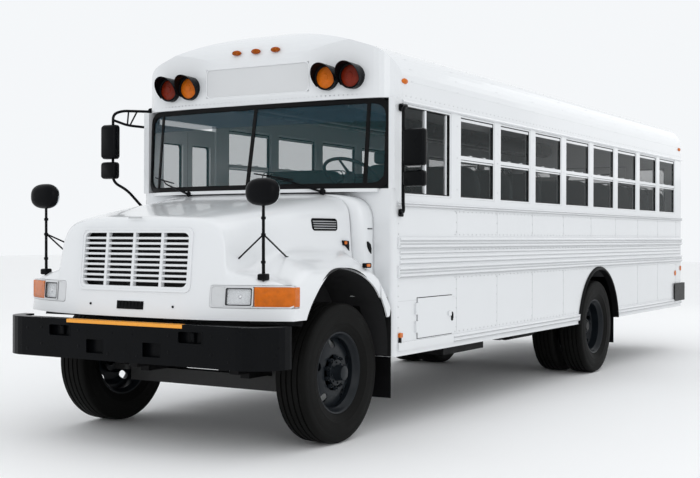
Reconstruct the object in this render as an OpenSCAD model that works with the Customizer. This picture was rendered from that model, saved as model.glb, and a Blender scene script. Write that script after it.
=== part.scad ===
// Conventional school bus with a tilting hood, eight windows a side, twin rear wheels,
// a two-leaf entry door on its right and an emergency door at the rear.
// Frame: X across (+X is the driver's side), Y lengthwise with the nose at -Y, Z up from the ground.
// Every module is written with Y = 0 at the front axle. at_origin() moves it to the middle of the length.

/* [Overall] */
// Length over both bumpers
overall_l = 9590; // [9300:10:11800]
// Width over the body sides
body_w = 2438; // [2300:2:2600]
// Front axle to the face of the front bumper
front_overhang = 1030; // [1000:5:1100]
// Front axle to rear axle
wheelbase = 5190; // [4900:10:6400]
// Gap between the rear end of the body and the face of the rear bumper
rear_bumper_d = 115; // [90:5:160]

/* [Body] */
// Thickness of the side, rear and front walls
wall_t = 50; // [35:1:60]
// Bottom edge of the side skirts
skirt_z = 562; // [500:2:620]
// Top of the floor
floor_z = 1080; // [1060:2:1120]
// Thickness of the floor
floor_t = 55; // [40:1:60]
// Bottom edge of the side windows
sill_z = 1775; // [1700:5:1850]
// Top edge of the side windows
header_z = 2466; // [2420:2:2500]
// Top of the roof at its middle
roof_z = 3080; // [3040:5:3120]
// Radius of the roof's wide middle arc
roof_r = 3000; // [2700:50:3400]
// Radius of the roof's shoulders
shoulder_r = 260; // [200:10:300]
// Thickness of the roof
roof_t = 45; // [35:1:60]
// Front face of the body, behind the cowl
front_y = 585; // [580:1:600]

/* [Windows] */
// Passenger windows on each side
window_n = 8; // [6:1:9]
// Distance from one window to the next
window_pitch = 819; // [700:1:819]
// Width of a window opening
window_w = 690; // [560:1:700]
// Front edge of the first passenger window
window_y = 1717; // [1700:1:1760]
// Front edge of the driver's window
driver_window_y = 690; // [680:1:720]
// Width of the driver's window
driver_window_w = 852; // [780:1:860]
// Thickness of the window glass
glass_t = 6; // [4:1:8]
// Width of a sash bar
sash_bar = 24; // [18:1:30]
// Depth of a sash bar
sash_t = 26; // [18:1:32]

/* [Wheels] */
// Radius of a tyre
tyre_r = 497; // [470:1:510]
// Width of a tyre
tyre_w = 252; // [220:1:262]
// Radius of the rim seat
rim_r = 292; // [270:1:300]
// Middle of a front tyre from the middle of the bus
front_track_x = 1003; // [990:1:1010]
// King pin from the middle of the bus, at the axle's height
king_pin_x = 870; // [865:1:875]
// Middle of an outer rear tyre from the middle of the bus
rear_outer_x = 1072; // [1065:1:1080]
// Distance between the twin rear tyres
twin_gap = 318; // [300:1:330]
// Radius of the front wheel arches
front_arch_r = 593; // [585:1:600]
// Radius of the rear wheel arches
rear_arch_r = 618; // [600:1:650]

/* [Hood] */
// Rear edge of the hood
hood_rear_y = 430; // [400:2:440]
// Thickness of the hood's shell
hood_t = 24; // [15:1:40]
// Half width of the hood at its rear edge
hood_rear_x = 926; // [900:2:950]
// Half width of the hood at its nose
hood_nose_x = 735; // [700:2:780]
// Top of the hood at its rear edge
hood_rear_z = 1790; // [1760:2:1800]
// Top of the hood at its nose
hood_nose_z = 1585; // [1550:2:1620]
// Half width over the fenders
fender_x = 1188; // [1170:1:1200]
// Bottom edge of the nose
nose_z = 905; // [895:1:920]

/* [Doors] */
// Front edge of the entry doorway
entry_y = 735; // [725:1:760]
// Width of the entry doorway
entry_w = 790; // [740:1:800]
// Bottom of the entry doorway
entry_z = 420; // [400:2:440]
// Width of the rear emergency door
rear_door_w = 960; // [900:5:1000]
// Front edge of the battery door
battery_y = 946; // [930:2:960]
// Width of the battery door
battery_w = 615; // [560:5:640]
// Gap round a door
door_gap = 6; // [5:0.5:8]

/* [Seats] */
// Distance from one seat row to the next
seat_pitch = 711; // [680:1:711]
// Seat rows on each side
seat_rows = 9; // [6:1:9]
// Width of a seat
seat_w = 950; // [900:5:970]

/* [Hidden] */
$fn = 48;
front_face_y = -front_overhang;
rear_face_y = overall_l - front_overhang;
body_rear_y = rear_face_y - rear_bumper_d;
half_w = body_w / 2;
inner_x = half_w - wall_t;
axle_z = tyre_r;
seam = 0.3;
roof_c_z = roof_z - roof_r;
shoulder_x = half_w - shoulder_r;
shoulder_z = roof_c_z + sqrt(pow(roof_r - shoulder_r, 2) - pow(shoulder_x, 2));
shoulder_a = atan2(shoulder_z - roof_c_z, shoulder_x);
cap_rear_y = 1060;
rail_x = 430;
rail_w = 76;
rail_z = 640;
rail_h = 250;
rail_front_y = -830;
rail_rear_y = body_rear_y - 60;
windows = concat(
    [[driver_window_y, driver_window_w]],
    [for (i = [0:window_n - 1]) [window_y + i * window_pitch, window_w]]
);
entry_top_z = header_z - 40;
entry_rear_y = entry_y + entry_w;
glass_x = half_w - 22;
ws_bottom_z = 1822;
ws_top_z = 2505;
ws_half = 1166;
ws_t = 12;
seal_t = 26;
bumper_z = 600;
bumper_h = 277;
bumper_t = 90;
arch_y = -30;
arch_z = 638;
hub_x = front_track_x + 62;
hood_hinge_y = -960;
hood_hinge_z = 740;
rear_door_z = floor_z - 60;
rear_door_top = 2420;
battery_z = 672;
battery_h = 320;

// ---- helpers ----

module at_origin() { translate([0, front_overhang - overall_l / 2, 0]) children(); }

module both_sides() {
    children();
    mirror([1, 0, 0]) children();
}

// A box from its low corner to its high corner
module block(low, high) { translate(low) cube(high - low); }

// Points along an arc
function arc(c, r, a0, a1, n) = [for (i = [0:n]) c + r * [cos(a0 + (a1 - a0) * i / n), sin(a0 + (a1 - a0) * i / n)]];

// A solid whose XZ outline is drawn in 2D and runs from y0 to y1
module along_y(y0, y1) { translate([0, y1, 0]) rotate([90, 0, 0]) linear_extrude(y1 - y0) children(); }

// A solid whose YZ outline is drawn in 2D and runs from x0 to x1
module along_x(x0, x1) {
    translate([x0, 0, 0]) rotate([90, 0, 90]) linear_extrude(x1 - x0) children();
}

module rod_x(p, r, l) { translate(p) rotate([0, 90, 0]) cylinder(r = r, h = l); }
module rod_y(p, r, l) { translate(p) rotate([-90, 0, 0]) cylinder(r = r, h = l); }

// A round bar between two points
module bar(a, b, r) {
    d = b - a;
    translate(a)
        rotate([0, acos(d[2] / norm(d)), atan2(d[1], d[0])])
            cylinder(r = r, h = norm(d), $fn = 20);
}

// A plate between a bottom line and a top line of [x, y] points, t thick towards the rear
module ruled_plate(bottom, top, z0, z1, t) {
    n = len(bottom);
    pts = concat(
        [for (p = bottom) [p[0], p[1], z0]], [for (p = bottom) [p[0], p[1] + t, z0]],
        [for (p = top) [p[0], p[1], z1]], [for (p = top) [p[0], p[1] + t, z1]]
    );
    faces = concat(
        [for (i = [0:n - 2]) each [
            [i, 2 * n + i, 2 * n + i + 1], [i, 2 * n + i + 1, i + 1],
            [n + i, n + i + 1, 3 * n + i + 1], [n + i, 3 * n + i + 1, 3 * n + i],
            [i, i + 1, n + i + 1], [i, n + i + 1, n + i],
            [2 * n + i, 3 * n + i, 3 * n + i + 1], [2 * n + i, 3 * n + i + 1, 2 * n + i + 1]
        ]],
        [[0, n, 3 * n], [0, 3 * n, 2 * n], [n - 1, 3 * n - 1, 4 * n - 1], [n - 1, 4 * n - 1, 2 * n - 1]]
    );
    polyhedron(pts, faces);
}

// ---- chassis ----

module chassis_frame() {
    color("#2a2b2d") {
        both_sides() block([rail_x, rail_front_y, rail_z], [rail_x + rail_w, rail_rear_y, rail_z + rail_h]);
        for (y = [rail_front_y, 900, 2300, 3700, 6300, rail_rear_y - 90])
            block([-rail_x - 1, y, rail_z + 165], [rail_x + 1, y + 90, rail_z + rail_h - 10]);
        // Outriggers under the floor
        for (y = [1750, 3300, 6600, body_rear_y - 500])
            both_sides() block([rail_x + rail_w, y, rail_z + 150], [inner_x - 40, y + 70, floor_z - floor_t]);
        both_sides() block([rail_x, front_y + 200, rail_z + rail_h], [rail_x + rail_w, rail_rear_y, floor_z - floor_t]);
    }
}

axle_beam_z = axle_z - 110;
pin_r = 22;

module front_axle() {
    color("#1f2022") {
        block([-620, -50, axle_beam_z - 55], [620, 50, axle_beam_z + 55]);
        both_sides() {
            block([560, -50, axle_beam_z - 55], [king_pin_x - 80, 50, axle_z + 30]);
            block([king_pin_x - 81, -45, axle_z - 42], [king_pin_x - 35, 45, axle_z + 30]);
            translate([king_pin_x, 0, axle_z - 42]) difference() {
                cylinder(r = 48, h = 72);
                translate([0, 0, -1]) cylinder(r = pin_r + 0.06, h = 74);
            }
        }
    }
}

module knuckle() {
    color("#232427") {
        // Yoke round the axle's eye, the king pin through it, and the spindle
        difference() {
            translate([king_pin_x, 0, axle_z - 90]) {
                cylinder(r = 52, h = 170);
                block([0, -52, 0], [90, 52, 170]);
            }
            translate([king_pin_x, 0, axle_z - 48]) cylinder(r = 62, h = 84);
            block([king_pin_x - 80, -60, axle_z - 48], [king_pin_x, 60, axle_z + 36]);
        }
        translate([king_pin_x, 0, axle_z - 60]) cylinder(r = pin_r, h = 110);
        rod_x([king_pin_x + 89, 0, axle_z], 38, hub_x - king_pin_x - 89 - seam);
    }
}

// Half of the housing, along the axle: bowl, tube, then the spindle that carries the hub
module rear_axle() {
    tube_end = rear_outer_x - twin_gap - 150;
    half = [[205, 62], [150, 130], [78, 180], [78, tube_end], [spindle_r, tube_end], [spindle_r, rear_outer_x + 20], [0, rear_outer_x + 20]];
    color("#1f2022") {
        translate([0, wheelbase, axle_z]) rotate([0, 90, 0])
            rotate_extrude($fn = 48) polygon(concat([for (p = half) [p[0], -p[1]]], reversed([for (p = half) p])));
        rod_y([0, wheelbase - 330, axle_z], 58, 200);
    }
}

spring_l = 1300;
module leaf_springs() {
    color("#2c2d2f") {
        both_sides() {
            // Front packs stand on the axle beam and reach the rails' undersides at their ends
            spring_pack(0, axle_beam_z + 55, spring_l, rail_x - 2);
            spring_pack(wheelbase, axle_z + 78, spring_l + 150, rail_x - 2);
        }
    }
}

module spring_pack(y, z, l, x) {
    leaves = 4;
    leaf_t = (rail_z - z) / (leaves + 1);
    for (i = [0:leaves - 1]) {
        half = l / 2 * (i + 2) / (leaves + 1);
        block([x, y - half, z + i * leaf_t], [x + 78, y + half, z + (i + 1) * leaf_t + (i < leaves - 1 ? 0.5 : 0)]);
    }
    for (s = [-1, 1])
        block([x, y + s * l / 2 - 45, z + leaves * leaf_t - 1], [x + 78, y + s * l / 2 + 45, rail_z]);
}

module engine() {
    color("#3a3c3f") block([-360, -640, rail_z + 60], [360, 330, 1380]);
}

module drive_shaft() {
    color("#2b2c2e") {
        // Gearbox behind the engine block, then the shaft to the axle's pinion
        block([-190, 330 + seam, 620], [190, 830, 980]);
        bar([0, 829, 740], [0, wheelbase - 336, axle_z], 55);
    }
}

module tanks() {
    color("#1c1d1f") {
        block([rail_x + rail_w + seam, 1830, 460], [1010, 2640, 860]);
        for (x = [650, 890])
            rod_y([x, 3390, 590], 125, 560);
        block([rail_x + rail_w + seam, 3500, 640], [1000, 3560, 780]);
    }
}

module exhaust() {
    color("#5c5a56") {
        rod_y([-700, 2400, 620], 125, 1100);
        bar([-570, 1570, 620], [-700, 2401, 620], 50);
        bar([-700, 3499, 620], [-590, 4450, 680], 50);
        block([-730, 2900, 740], [-680, 2960, rail_z + 160]);
        block([-700, 2900, rail_z + 140], [-rail_x - rail_w - seam, 2960, rail_z + 180]);
    }
}

bumper_plate = 14;
bumper_r = 250;
bumper_flat_x = half_w - 14 - bumper_r;
bumper_end_y = front_face_y + bumper_r + 20;

// Plan line of the front bumper, d inside its face, from the right end to the left
function bumper_line(d) = concat(
    [[-half_w + 14 + d, bumper_end_y]],
    arc([-bumper_flat_x, front_face_y + bumper_r], bumper_r - d, 180, 270, 8),
    arc([bumper_flat_x, front_face_y + bumper_r], bumper_r - d, 270, 360, 8),
    [[half_w - 14 - d, bumper_end_y]]
);
function reversed(v) = [for (i = [len(v) - 1:-1:0]) v[i]];

module front_bumper() {
    color("#141415") {
        difference() {
            translate([0, 0, bumper_z]) linear_extrude(bumper_h)
                polygon(concat(bumper_line(0), reversed(bumper_line(bumper_t))));
            translate([0, 0, bumper_z + bumper_plate]) linear_extrude(bumper_h - 2 * bumper_plate)
                polygon(concat(bumper_line(bumper_plate), reversed(bumper_line(bumper_t + 1))));
            both_sides() {
                // Tow opening above, access hole below
                block([480, front_face_y - 1, bumper_z + 150], [690, front_face_y + bumper_plate + 1, bumper_z + 235]);
                block([175, front_face_y - 1, bumper_z + 45], [335, front_face_y + bumper_plate + 1, bumper_z + 145]);
            }
            for (x = [-plate_bolt_pitch / 2, plate_bolt_pitch / 2])
                rod_y([x, front_face_y - 1, plate_bolt_z], plate_bolt_r, bumper_plate + 2);
        }
        // Brackets to the frame rails
        both_sides()
            block([rail_x, front_face_y + bumper_plate - 1, rail_z], [rail_x + 30, rail_front_y - seam, rail_z + 180]);
    }
}

plate_bolt_pitch = 178;
plate_bolt_r = 3.5;
plate_bolt_z = bumper_z + 195;
rear_bumper_z = 640;
rear_bumper_h = 230;
tow_eye_r = 26;
tow_eye_t = 28;
tow_eye_y = rear_face_y - 90;
tow_eye_z = skirt_z - 36;

module rear_bumper() {
    color("#141415") {
        difference() {
            block([-half_w + 4, body_rear_y + seam, rear_bumper_z], [half_w - 4, rear_face_y, rear_bumper_z + rear_bumper_h]);
            block([-half_w + 18, body_rear_y, rear_bumper_z + 14],
                  [half_w - 18, rear_face_y - 14, rear_bumper_z + rear_bumper_h - 14]);
            for (x = [-plate_bolt_pitch / 2, plate_bolt_pitch / 2])
                rod_y([x, rear_face_y - 15, rear_bumper_z + 120], plate_bolt_r, 16);
        }
        both_sides() {
            // Wrapped corners along the skirt's rear end
            block([half_w + rail_band_t + seam, body_rear_y - 350, rear_bumper_z],
                  [half_w + rail_band_t + 8, rear_face_y, rear_bumper_z + rear_bumper_h]);
            block([half_w - 5, rear_face_y - 14, rear_bumper_z],
                  [half_w + rail_band_t + 1, rear_face_y, rear_bumper_z + rear_bumper_h]);
            // Brackets from the rails
            block([rail_x, rail_rear_y + seam, rail_z + 14], [rail_x + 40, rear_face_y - 13, rail_z + 190]);
            tow_eye();
        }
    }
}

module tow_eye() {
    difference() {
        union() {
            rod_x([rail_x + 6, tow_eye_y, tow_eye_z], 58, tow_eye_t);
            block([rail_x + 6, tow_eye_y - 58, tow_eye_z], [rail_x + 6 + tow_eye_t, tow_eye_y + 58, rail_z + 15]);
        }
        rod_x([rail_x, tow_eye_y, tow_eye_z], tow_eye_r, tow_eye_t + 20);
    }
}

// ---- body ----

module floor() {
    color("#3b3f42") {
        difference() {
            block([-inner_x + seam, front_y + wall_t + seam, floor_z - floor_t], [inner_x - seam, body_rear_y - wall_t - seam, floor_z]);
            // Doorway well and the rear wheel openings
            block([-inner_x - 1, front_y, floor_z - floor_t - 1], [-inner_x + step_w + 4 + seam, entry_rear_y + 10, floor_z + 1]);
            both_sides() rear_arch_cut(floor_z + 1);
        }
    }
}

module wheel_houses() {
    color("#3b3f42") both_sides() wheel_house();
}

house_in_x = rear_outer_x - twin_gap - tyre_w / 2 - 45;

module rear_arch_cut(top) {
    intersection() {
        rod_x([house_in_x, wheelbase, axle_z], rear_arch_r, inner_x - house_in_x + 1);
        block([0, wheelbase - 900, 0], [half_w + 10, wheelbase + 900, top]);
    }
}

// A half-round housing over the twin wheels, standing on the floor
module wheel_house() {
    house_t = 12;
    intersection() {
        difference() {
            rod_x([house_in_x - house_t, wheelbase, axle_z], rear_arch_r + house_t, inner_x - seam - house_in_x + house_t);
            rod_x([house_in_x, wheelbase, axle_z], rear_arch_r, inner_x);
        }
        block([0, wheelbase - 900, floor_z + seam], [inner_x - seam, wheelbase + 900, axle_z + 2 * rear_arch_r]);
    }
}

step_w = 560;
step_d = 560;

module entry_steps() {
    color("#33363a") {
        rises = 3;
        rise = (floor_z - entry_z) / rises;
        tread = step_w / rises;
        well_y0 = front_y + wall_t + seam;
        well_y1 = entry_rear_y + 9;
        for (i = [0:rises - 1])
            block([-inner_x + i * tread, well_y0, entry_z - 30 + i * rise],
                  [-inner_x + (i + 1) * tread + (i < rises - 1 ? 4 : 0), well_y1, entry_z + i * rise]);
        for (i = [1:rises])
            block([-inner_x + i * tread, well_y0, entry_z - 30 + (i - 1) * rise],
                  [-inner_x + i * tread + 4, well_y1, entry_z + i * rise - (i == rises ? seam : 0)]);
        // Side plates of the well
        for (y = [well_y0, well_y1 - 8])
            block([-inner_x, y, entry_z - 30], [-inner_x + step_w + 4, y + 8, floor_z - seam]);
    }
}

rail_a_z = 1372;
rail_b_z = 1152;
rail_band_h = 88;
rail_band_t = 14;
belt_z = 1690;
base_band_z = 603;
base_band_h = 62;
skirt_t = 26;

// Side wall from y0 to y1 with posts between the listed windows
module side_wall(y0, y1, openings) {
    difference() {
        union() {
            block([inner_x, y0, floor_z - floor_t - 20], [half_w, y1, header_z]);
            block([half_w - skirt_t, y0, skirt_z], [half_w, y1, floor_z]);
        }
        for (w = openings)
            block([inner_x - 1, w[0], sill_z], [half_w + 1, w[0] + w[1], header_z + 1]);
        rod_x([inner_x - 60, wheelbase, axle_z], rear_arch_r, 200);
    }
    // Rub rails: two raised bands, the belt and the base band, stopping at the arch
    for (band = [[rail_a_z, rail_band_h], [rail_b_z, rail_band_h], [belt_z, 34], [base_band_z, base_band_h]]) // [z, height]
        difference() {
            block([half_w - 1, y0, band[0]], [half_w + rail_band_t, y1, band[0] + band[1]]);
            rod_x([inner_x, wheelbase, axle_z], rear_arch_r, 200);
        }
}

module left_side() {
    color("#eceef0") difference() {
        side_wall(front_y + wall_t + seam, body_rear_y - wall_t - seam, windows);
        block([half_w - 60, battery_y, battery_z], [half_w + 30, battery_y + battery_w, battery_z + battery_h]);
    }
    color("#eceef0") for (z = battery_hinge_zs)
        block([half_w - 1, battery_y - 34, z], [half_w + 16, battery_y + 0.6, z + hinge_h]);
}

// The battery box behind its door, hung from the floor
module battery_box() {
    t = 10;
    x0 = 880;
    color("#2a2b2d") difference() {
        union() {
            block([x0, battery_y - t, battery_z - t],
                  [half_w - skirt_t - seam, battery_y + battery_w + t, battery_z + battery_h + t]);
            block([x0, battery_y + 40, battery_z + battery_h], [x0 + 60, battery_y + 90, floor_z - floor_t - seam]);
        }
        block([x0 + t, battery_y, battery_z], [half_w, battery_y + battery_w, battery_z + battery_h]);
    }
}

module right_side() {
    color("#eceef0") mirror([1, 0, 0]) {
        side_wall(entry_rear_y, body_rear_y - wall_t - seam, [for (i = [1:window_n]) windows[i]]);
        // Post ahead of the doorway
        block([inner_x, front_y + wall_t + seam, entry_z - 30], [half_w, entry_y, header_z]);
        // Fixed halves of the entry hinges
        for (z = entry_hinge_zs) {
            block([half_w - 1, entry_y - 34, z], [half_w + 10, entry_y + 0.6, z + hinge_h]);
            block([half_w - 1, entry_rear_y - 0.6, z], [half_w + 10, entry_rear_y + 34, z + hinge_h]);
        }
    }
}

function roof_outline(d) = concat(
    [[half_w - d, header_z + seam]],
    arc([shoulder_x, shoulder_z], shoulder_r - d, 0, shoulder_a, 7),
    arc([0, roof_c_z], roof_r - d, shoulder_a + 1.2, 180 - shoulder_a - 1.2, 14),
    arc([-shoulder_x, shoulder_z], shoulder_r - d, 180 - shoulder_a, 180, 7),
    [[-half_w + d, header_z + seam]]
);

module roof_shell(y0, y1) {
    along_y(y0, y1) polygon(concat(roof_outline(0), reversed(roof_outline(roof_t))));
}

module roof() { color("#f1f2f3") roof_shell(cap_rear_y + seam, body_rear_y - wall_t - seam); }

// Side profile of the front cap: brow over the windshield, face, then a curve back to the roof.
// d is the distance inside the outer face.
function cap_profile(d) = concat(
    [[529 + d, ws_top_z + seam], [515 + d, ws_top_z + 60]],
    arc([515 + 230, roof_z - 230], 230 - d, 180, 90, 8),
    [[cap_rear_y, roof_z - d], [cap_rear_y, ws_top_z + seam]]
);

// Plan of the front cap: a flat bow with rounded corners
function cap_plan(d) = concat(
    [[half_w + 5, cap_rear_y + 1]],
    [[half_w + 5 - d, 900]],
    arc([half_w + 5 - 200, 765], 200 - d, 0, -84, 7),
    arc([0, 505 + bow_r], bow_r - d, 270 + bow_a, 270 - bow_a, 8),
    arc([-half_w - 5 + 200, 765], 200 - d, 264, 180, 7),
    [[-half_w - 5 + d, 900]],
    [[-half_w - 5, cap_rear_y + 1]]
);

bow_r = 9000;
bow_a = 6.3;

module cap_solid(d) {
    intersection() {
        along_y(400, cap_rear_y) polygon(roof_outline(d));
        along_x(-half_w - 10, half_w + 10) polygon(cap_profile(d));
        translate([0, 0, ws_top_z - 100]) linear_extrude(800) polygon(cap_plan(d));
    }
}

module front_cap() {
    color("#eef0f1") difference() {
        cap_solid(0);
        difference() {
            translate([0, seam, -seam]) cap_solid(roof_t);
            // Headliner bulkhead over the windshield is left solid
            block([-half_w, 400, ws_top_z], [half_w, 640, ws_top_z + 45]);
        }
        block([-half_w - 20, front_y + 40, ws_top_z - 50], [half_w + 20, cap_rear_y + 20, header_z + seam]);
        block([-inner_x, 640, ws_top_z - 60], [inner_x, cap_rear_y + 20, ws_top_z + 50]);
        // Shallow sign recess
        block([-sign_x, 400, sign_z0], [sign_x, sign_y, sign_z1]);
    }
    // The cap's sides come down to the window header behind the corner posts
    color("#eef0f1") both_sides()
        block([inner_x, front_y + wall_t + seam, header_z + seam], [half_w, cap_rear_y, ws_top_z + 3]);
}

sign_x = 497;
sign_z0 = 2580;
sign_z1 = 2811;
sign_y = 532;

rear_window = [590, 1010, 1800, 2380]; // [low x, high x, low z, high z]
window_clear = 0.3;

module rear_wall() {
    color("#eceef0") difference() {
        union() {
            along_y(body_rear_y - wall_t, body_rear_y) polygon(concat(
                roof_outline(0), [[-half_w, skirt_z], [half_w, skirt_z]]
            ));
        }
        block([-rear_door_w / 2, 0, rear_door_z], [rear_door_w / 2, overall_l, rear_door_top]);
        both_sides() block([rear_window[0], 0, rear_window[2]], [rear_window[1], overall_l, rear_window[3]]);
        // The frame rails and the shaft tunnel pass under the floor
        block([-600, 0, 0], [600, overall_l, floor_z - floor_t - 1]);
    }
    // Fixed halves of the emergency door's hinges
    color("#eceef0") for (z = rear_hinge_zs)
        block([-rear_door_w / 2 - 40, body_rear_y - 1, z], [-rear_door_w / 2 + 0.6, body_rear_y + 10, z + hinge_h]);
}

function ws_bottom_y(x) = abs(x) <= 1000 ? 400 + 120 * pow(x / 1000, 2) : 520 + (abs(x) - 1000) / 166 * 90;
function ws_top_y(x) = abs(x) <= 1000 ? 529 + 61 * pow(x / 1000, 2) : 590 + (abs(x) - 1000) / 166 * 45;
function ws_mix_y(x, z) = ws_bottom_y(x) + (ws_top_y(x) - ws_bottom_y(x)) * (z - ws_bottom_z) / (ws_top_z - ws_bottom_z);
function ws_line(x0, x1, z, n, dy) = [for (i = [0:n]) let (x = x0 + (x1 - x0) * i / n) [x, ws_mix_y(x, z) + dy]];
ws_pillar_x = 1000;
ws_edge = 38;

// A glazing strip of the windshield between two x and two z values
module ws_part(x0, x1, z0, z1, n, dy, t) {
    ruled_plate(ws_line(x0, x1, z0, n, dy), ws_line(x0, x1, z1, n, dy), z0, z1, t);
}

corner_r = wall_t - 5;
deck_x = 1090;

module front_panel() {
    color("#eceef0") {
        difference() {
            translate([0, 0, skirt_z]) linear_extrude(ws_bottom_z - seam - skirt_z) polygon(concat(
                arc([half_w - corner_r, front_y + corner_r], corner_r, 0, -90, 5),
                arc([-half_w + corner_r, front_y + corner_r], corner_r, 270, 180, 5),
                [[-half_w, front_y + wall_t], [half_w, front_y + wall_t]]
            ));
            block([-620, 0, 0], [620, 2000, floor_z - floor_t - 20]);
        }
        // Deck under the windshield
        translate([0, 0, ws_bottom_z - 26]) linear_extrude(26 - seam) polygon(concat(
            ws_line(-deck_x, deck_x, ws_bottom_z, 14, -18),
            [[deck_x, front_y + 10], [-deck_x, front_y + 10]]
        ));
        // Corner posts
        both_sides() block([ws_half + seam, front_y + 2, ws_bottom_z - 1], [half_w, front_y + wall_t, ws_top_z - seam]);
    }
}

function cowl_outline(d) = concat(
    [[1044 - d, 1010]],
    arc([1044 - 150, 1794 - 150], 150 - d, 0, 90, 6),
    arc([-1044 + 150, 1794 - 150], 150 - d, 90, 180, 6),
    [[-1044 + d, 1010]]
);

module cowl() {
    color("#eceef0") difference() {
        along_y(hood_rear_y + hood_seam, front_y - 2 * seam)
            polygon(concat(cowl_outline(0), reversed(cowl_outline(34))));
        translate([0, 0, ws_bottom_z - 26 - seam]) block([-1300, 0, 0], [1300, 1000, 100]);
    }
    // Rests under the hood's rear edge
    color("#eceef0") both_sides()
        block([500, hood_rear_y - 25, hood_rear_z - 60],
              [560, hood_rear_y + 40, hood_rear_z - hood_t + 1.1 - (hood_rear_z - hood_nose_z) * 25 / (hood_rear_y + 960)]);
}

hood_seam = 6;

module windshield() {
    color("#5d7f8c")
        ws_part(-ws_half + ws_edge, ws_half - ws_edge, ws_bottom_z + ws_edge, ws_top_z - ws_edge, 16, 4, ws_t);
}

module windshield_seal() {
    color("#101112") {
        ws_part(-ws_half, ws_half, ws_bottom_z, ws_bottom_z + ws_edge - seam, 16, -4, seal_t);
        ws_part(-ws_half, ws_half, ws_top_z - ws_edge + seam, ws_top_z - 1, 16, -4, seal_t);
        for (x = [-ws_half, ws_half - ws_edge + seam])
            ws_part(x, x + ws_edge - seam, ws_bottom_z + ws_edge - 1, ws_top_z - ws_edge + 1, 1, -4, seal_t);
    }
}

module window_glass() {
    color("#4c6570") {
        for (w = windows) glass_pane(w);
        mirror([1, 0, 0]) for (i = [1:window_n]) glass_pane(windows[i]);
        both_sides() block([rear_window[0] + window_clear, body_rear_y - 30, rear_window[2] + window_clear],
                           [rear_window[1] - window_clear, body_rear_y - 30 + glass_t, rear_window[3] - window_clear]);
    }
}

module glass_pane(w) {
    block([glass_x, w[0] + sash_bar, sill_z + sash_bar], [glass_x + glass_t, w[0] + w[1] - sash_bar, header_z - sash_bar]);
}

module sash(w) {
    x0 = glass_x - 10;
    x1 = x0 + sash_t;
    mid_z = (sill_z + header_z) / 2;
    difference() {
        block([x0, w[0] + seam, sill_z + seam], [x1, w[0] + w[1] - seam, header_z - seam]);
        block([x0 - 1, w[0] + sash_bar, sill_z + sash_bar], [x1 + 1, w[0] + w[1] - sash_bar, header_z - sash_bar]);
    }
    // Meeting rail outside the glass
    if (w[0] == driver_window_y)
        block([glass_x + glass_t + seam, w[0] + w[1] / 2 - 15, sill_z + 2], [x1, w[0] + w[1] / 2 + 15, header_z - 2]);
    else
        block([glass_x + glass_t + seam, w[0] + 2, mid_z - 16], [x1, w[0] + w[1] - 2, mid_z + 16]);
}

module window_sashes() {
    color("#b9bdc1") {
        for (w = windows) sash(w);
        mirror([1, 0, 0]) for (i = [1:window_n]) sash(windows[i]);
    }
}

// ---- inside ----

seat_y = 1800;
cushion_z = floor_z + 350;
cushion_h = 120;
cushion_d = 400;
back_top_z = 2090;
back_t = 95;
seat_x1 = inner_x - 14;
seat_x0 = seat_x1 - seat_w;
rows = [for (i = [0:seat_rows - 1]) seat_y + i * seat_pitch];

module seat_cushions() {
    color("#26302f") both_sides() for (y = rows)
        block([seat_x0, y, cushion_z], [seat_x1, y + cushion_d - seam, cushion_z + cushion_h]);
}

module seat_backs() {
    color("#222b2a") both_sides() for (y = rows)
        block([seat_x0, y + cushion_d, cushion_z - 40], [seat_x1, y + cushion_d + back_t, back_top_z]);
}

module seat_legs() {
    color("#3a3d3f") both_sides() difference() {
        for (y = rows) {
            block([seat_x0 + 90, y + 60, floor_z + seam], [seat_x0 + 130, y + 360, cushion_z - seam]);
            block([seat_x0 + 90, y + 180, cushion_z - 40], [seat_x1, y + 230, cushion_z - seam]);
        }
        rod_x([house_in_x - 14, wheelbase, axle_z], rear_arch_r + 14, 700);
    }
}

driver_x = 560;

module driver_seat() {
    color("#232a2c") {
        block([driver_x - 150, 1330, floor_z + seam], [driver_x + 150, 1600, 1430]);
        block([driver_x - 240, 1210, 1430], [driver_x + 240, 1690, 1550]);
        block([driver_x - 230, 1610, 1549], [driver_x + 230, 1710, 2080]);
        block([driver_x - 130, 1620, 2079], [driver_x + 130, 1690, 2200]);
    }
}

wheel_c = [driver_x, 1050, 1960];
wheel_tilt = 32;
wheel_axis = [0, sin(wheel_tilt), cos(wheel_tilt)];

module dashboard() {
    color("#2b2f32") {
        block([-250, front_y + wall_t + seam, 1500], [1120, 900, 1790]);
        block([driver_x - 90, front_y + wall_t + seam, floor_z + seam], [driver_x + 90, 760, 1501]);
        // Column
        bar(wheel_c - 300 * wheel_axis, wheel_c - (50 + seam) * wheel_axis, 38);
    }
}

module steering_wheel() {
    color("#18191a") translate(wheel_c) rotate([-wheel_tilt, 0, 0]) {
        rotate_extrude() translate([225, 0]) circle(r = 15, $fn = 24);
        translate([0, 0, -50]) cylinder(r = 45, h = 60);
        for (a = [30, 150, 270]) rotate([0, 0, a]) block([30, -13, -8], [222, 13, 4]);
    }
}

// ---- lamps, mirrors and flaps ----

lamp_r = 96;
lamp_z = 2672;
lamp_xs = [880, 664];

module warning_lamps() {
    color("#a03020") {
        difference() {
            both_sides() for (x = lamp_xs) rod_y([x, 470, lamp_z], lamp_r, 120);
            cap_solid(-seam);
        }
        both_sides() for (x = lamp_xs) rod_y([x, body_rear_y + seam, 2610], lamp_r, 50);
    }
}

marker_pitch = 188;

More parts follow.
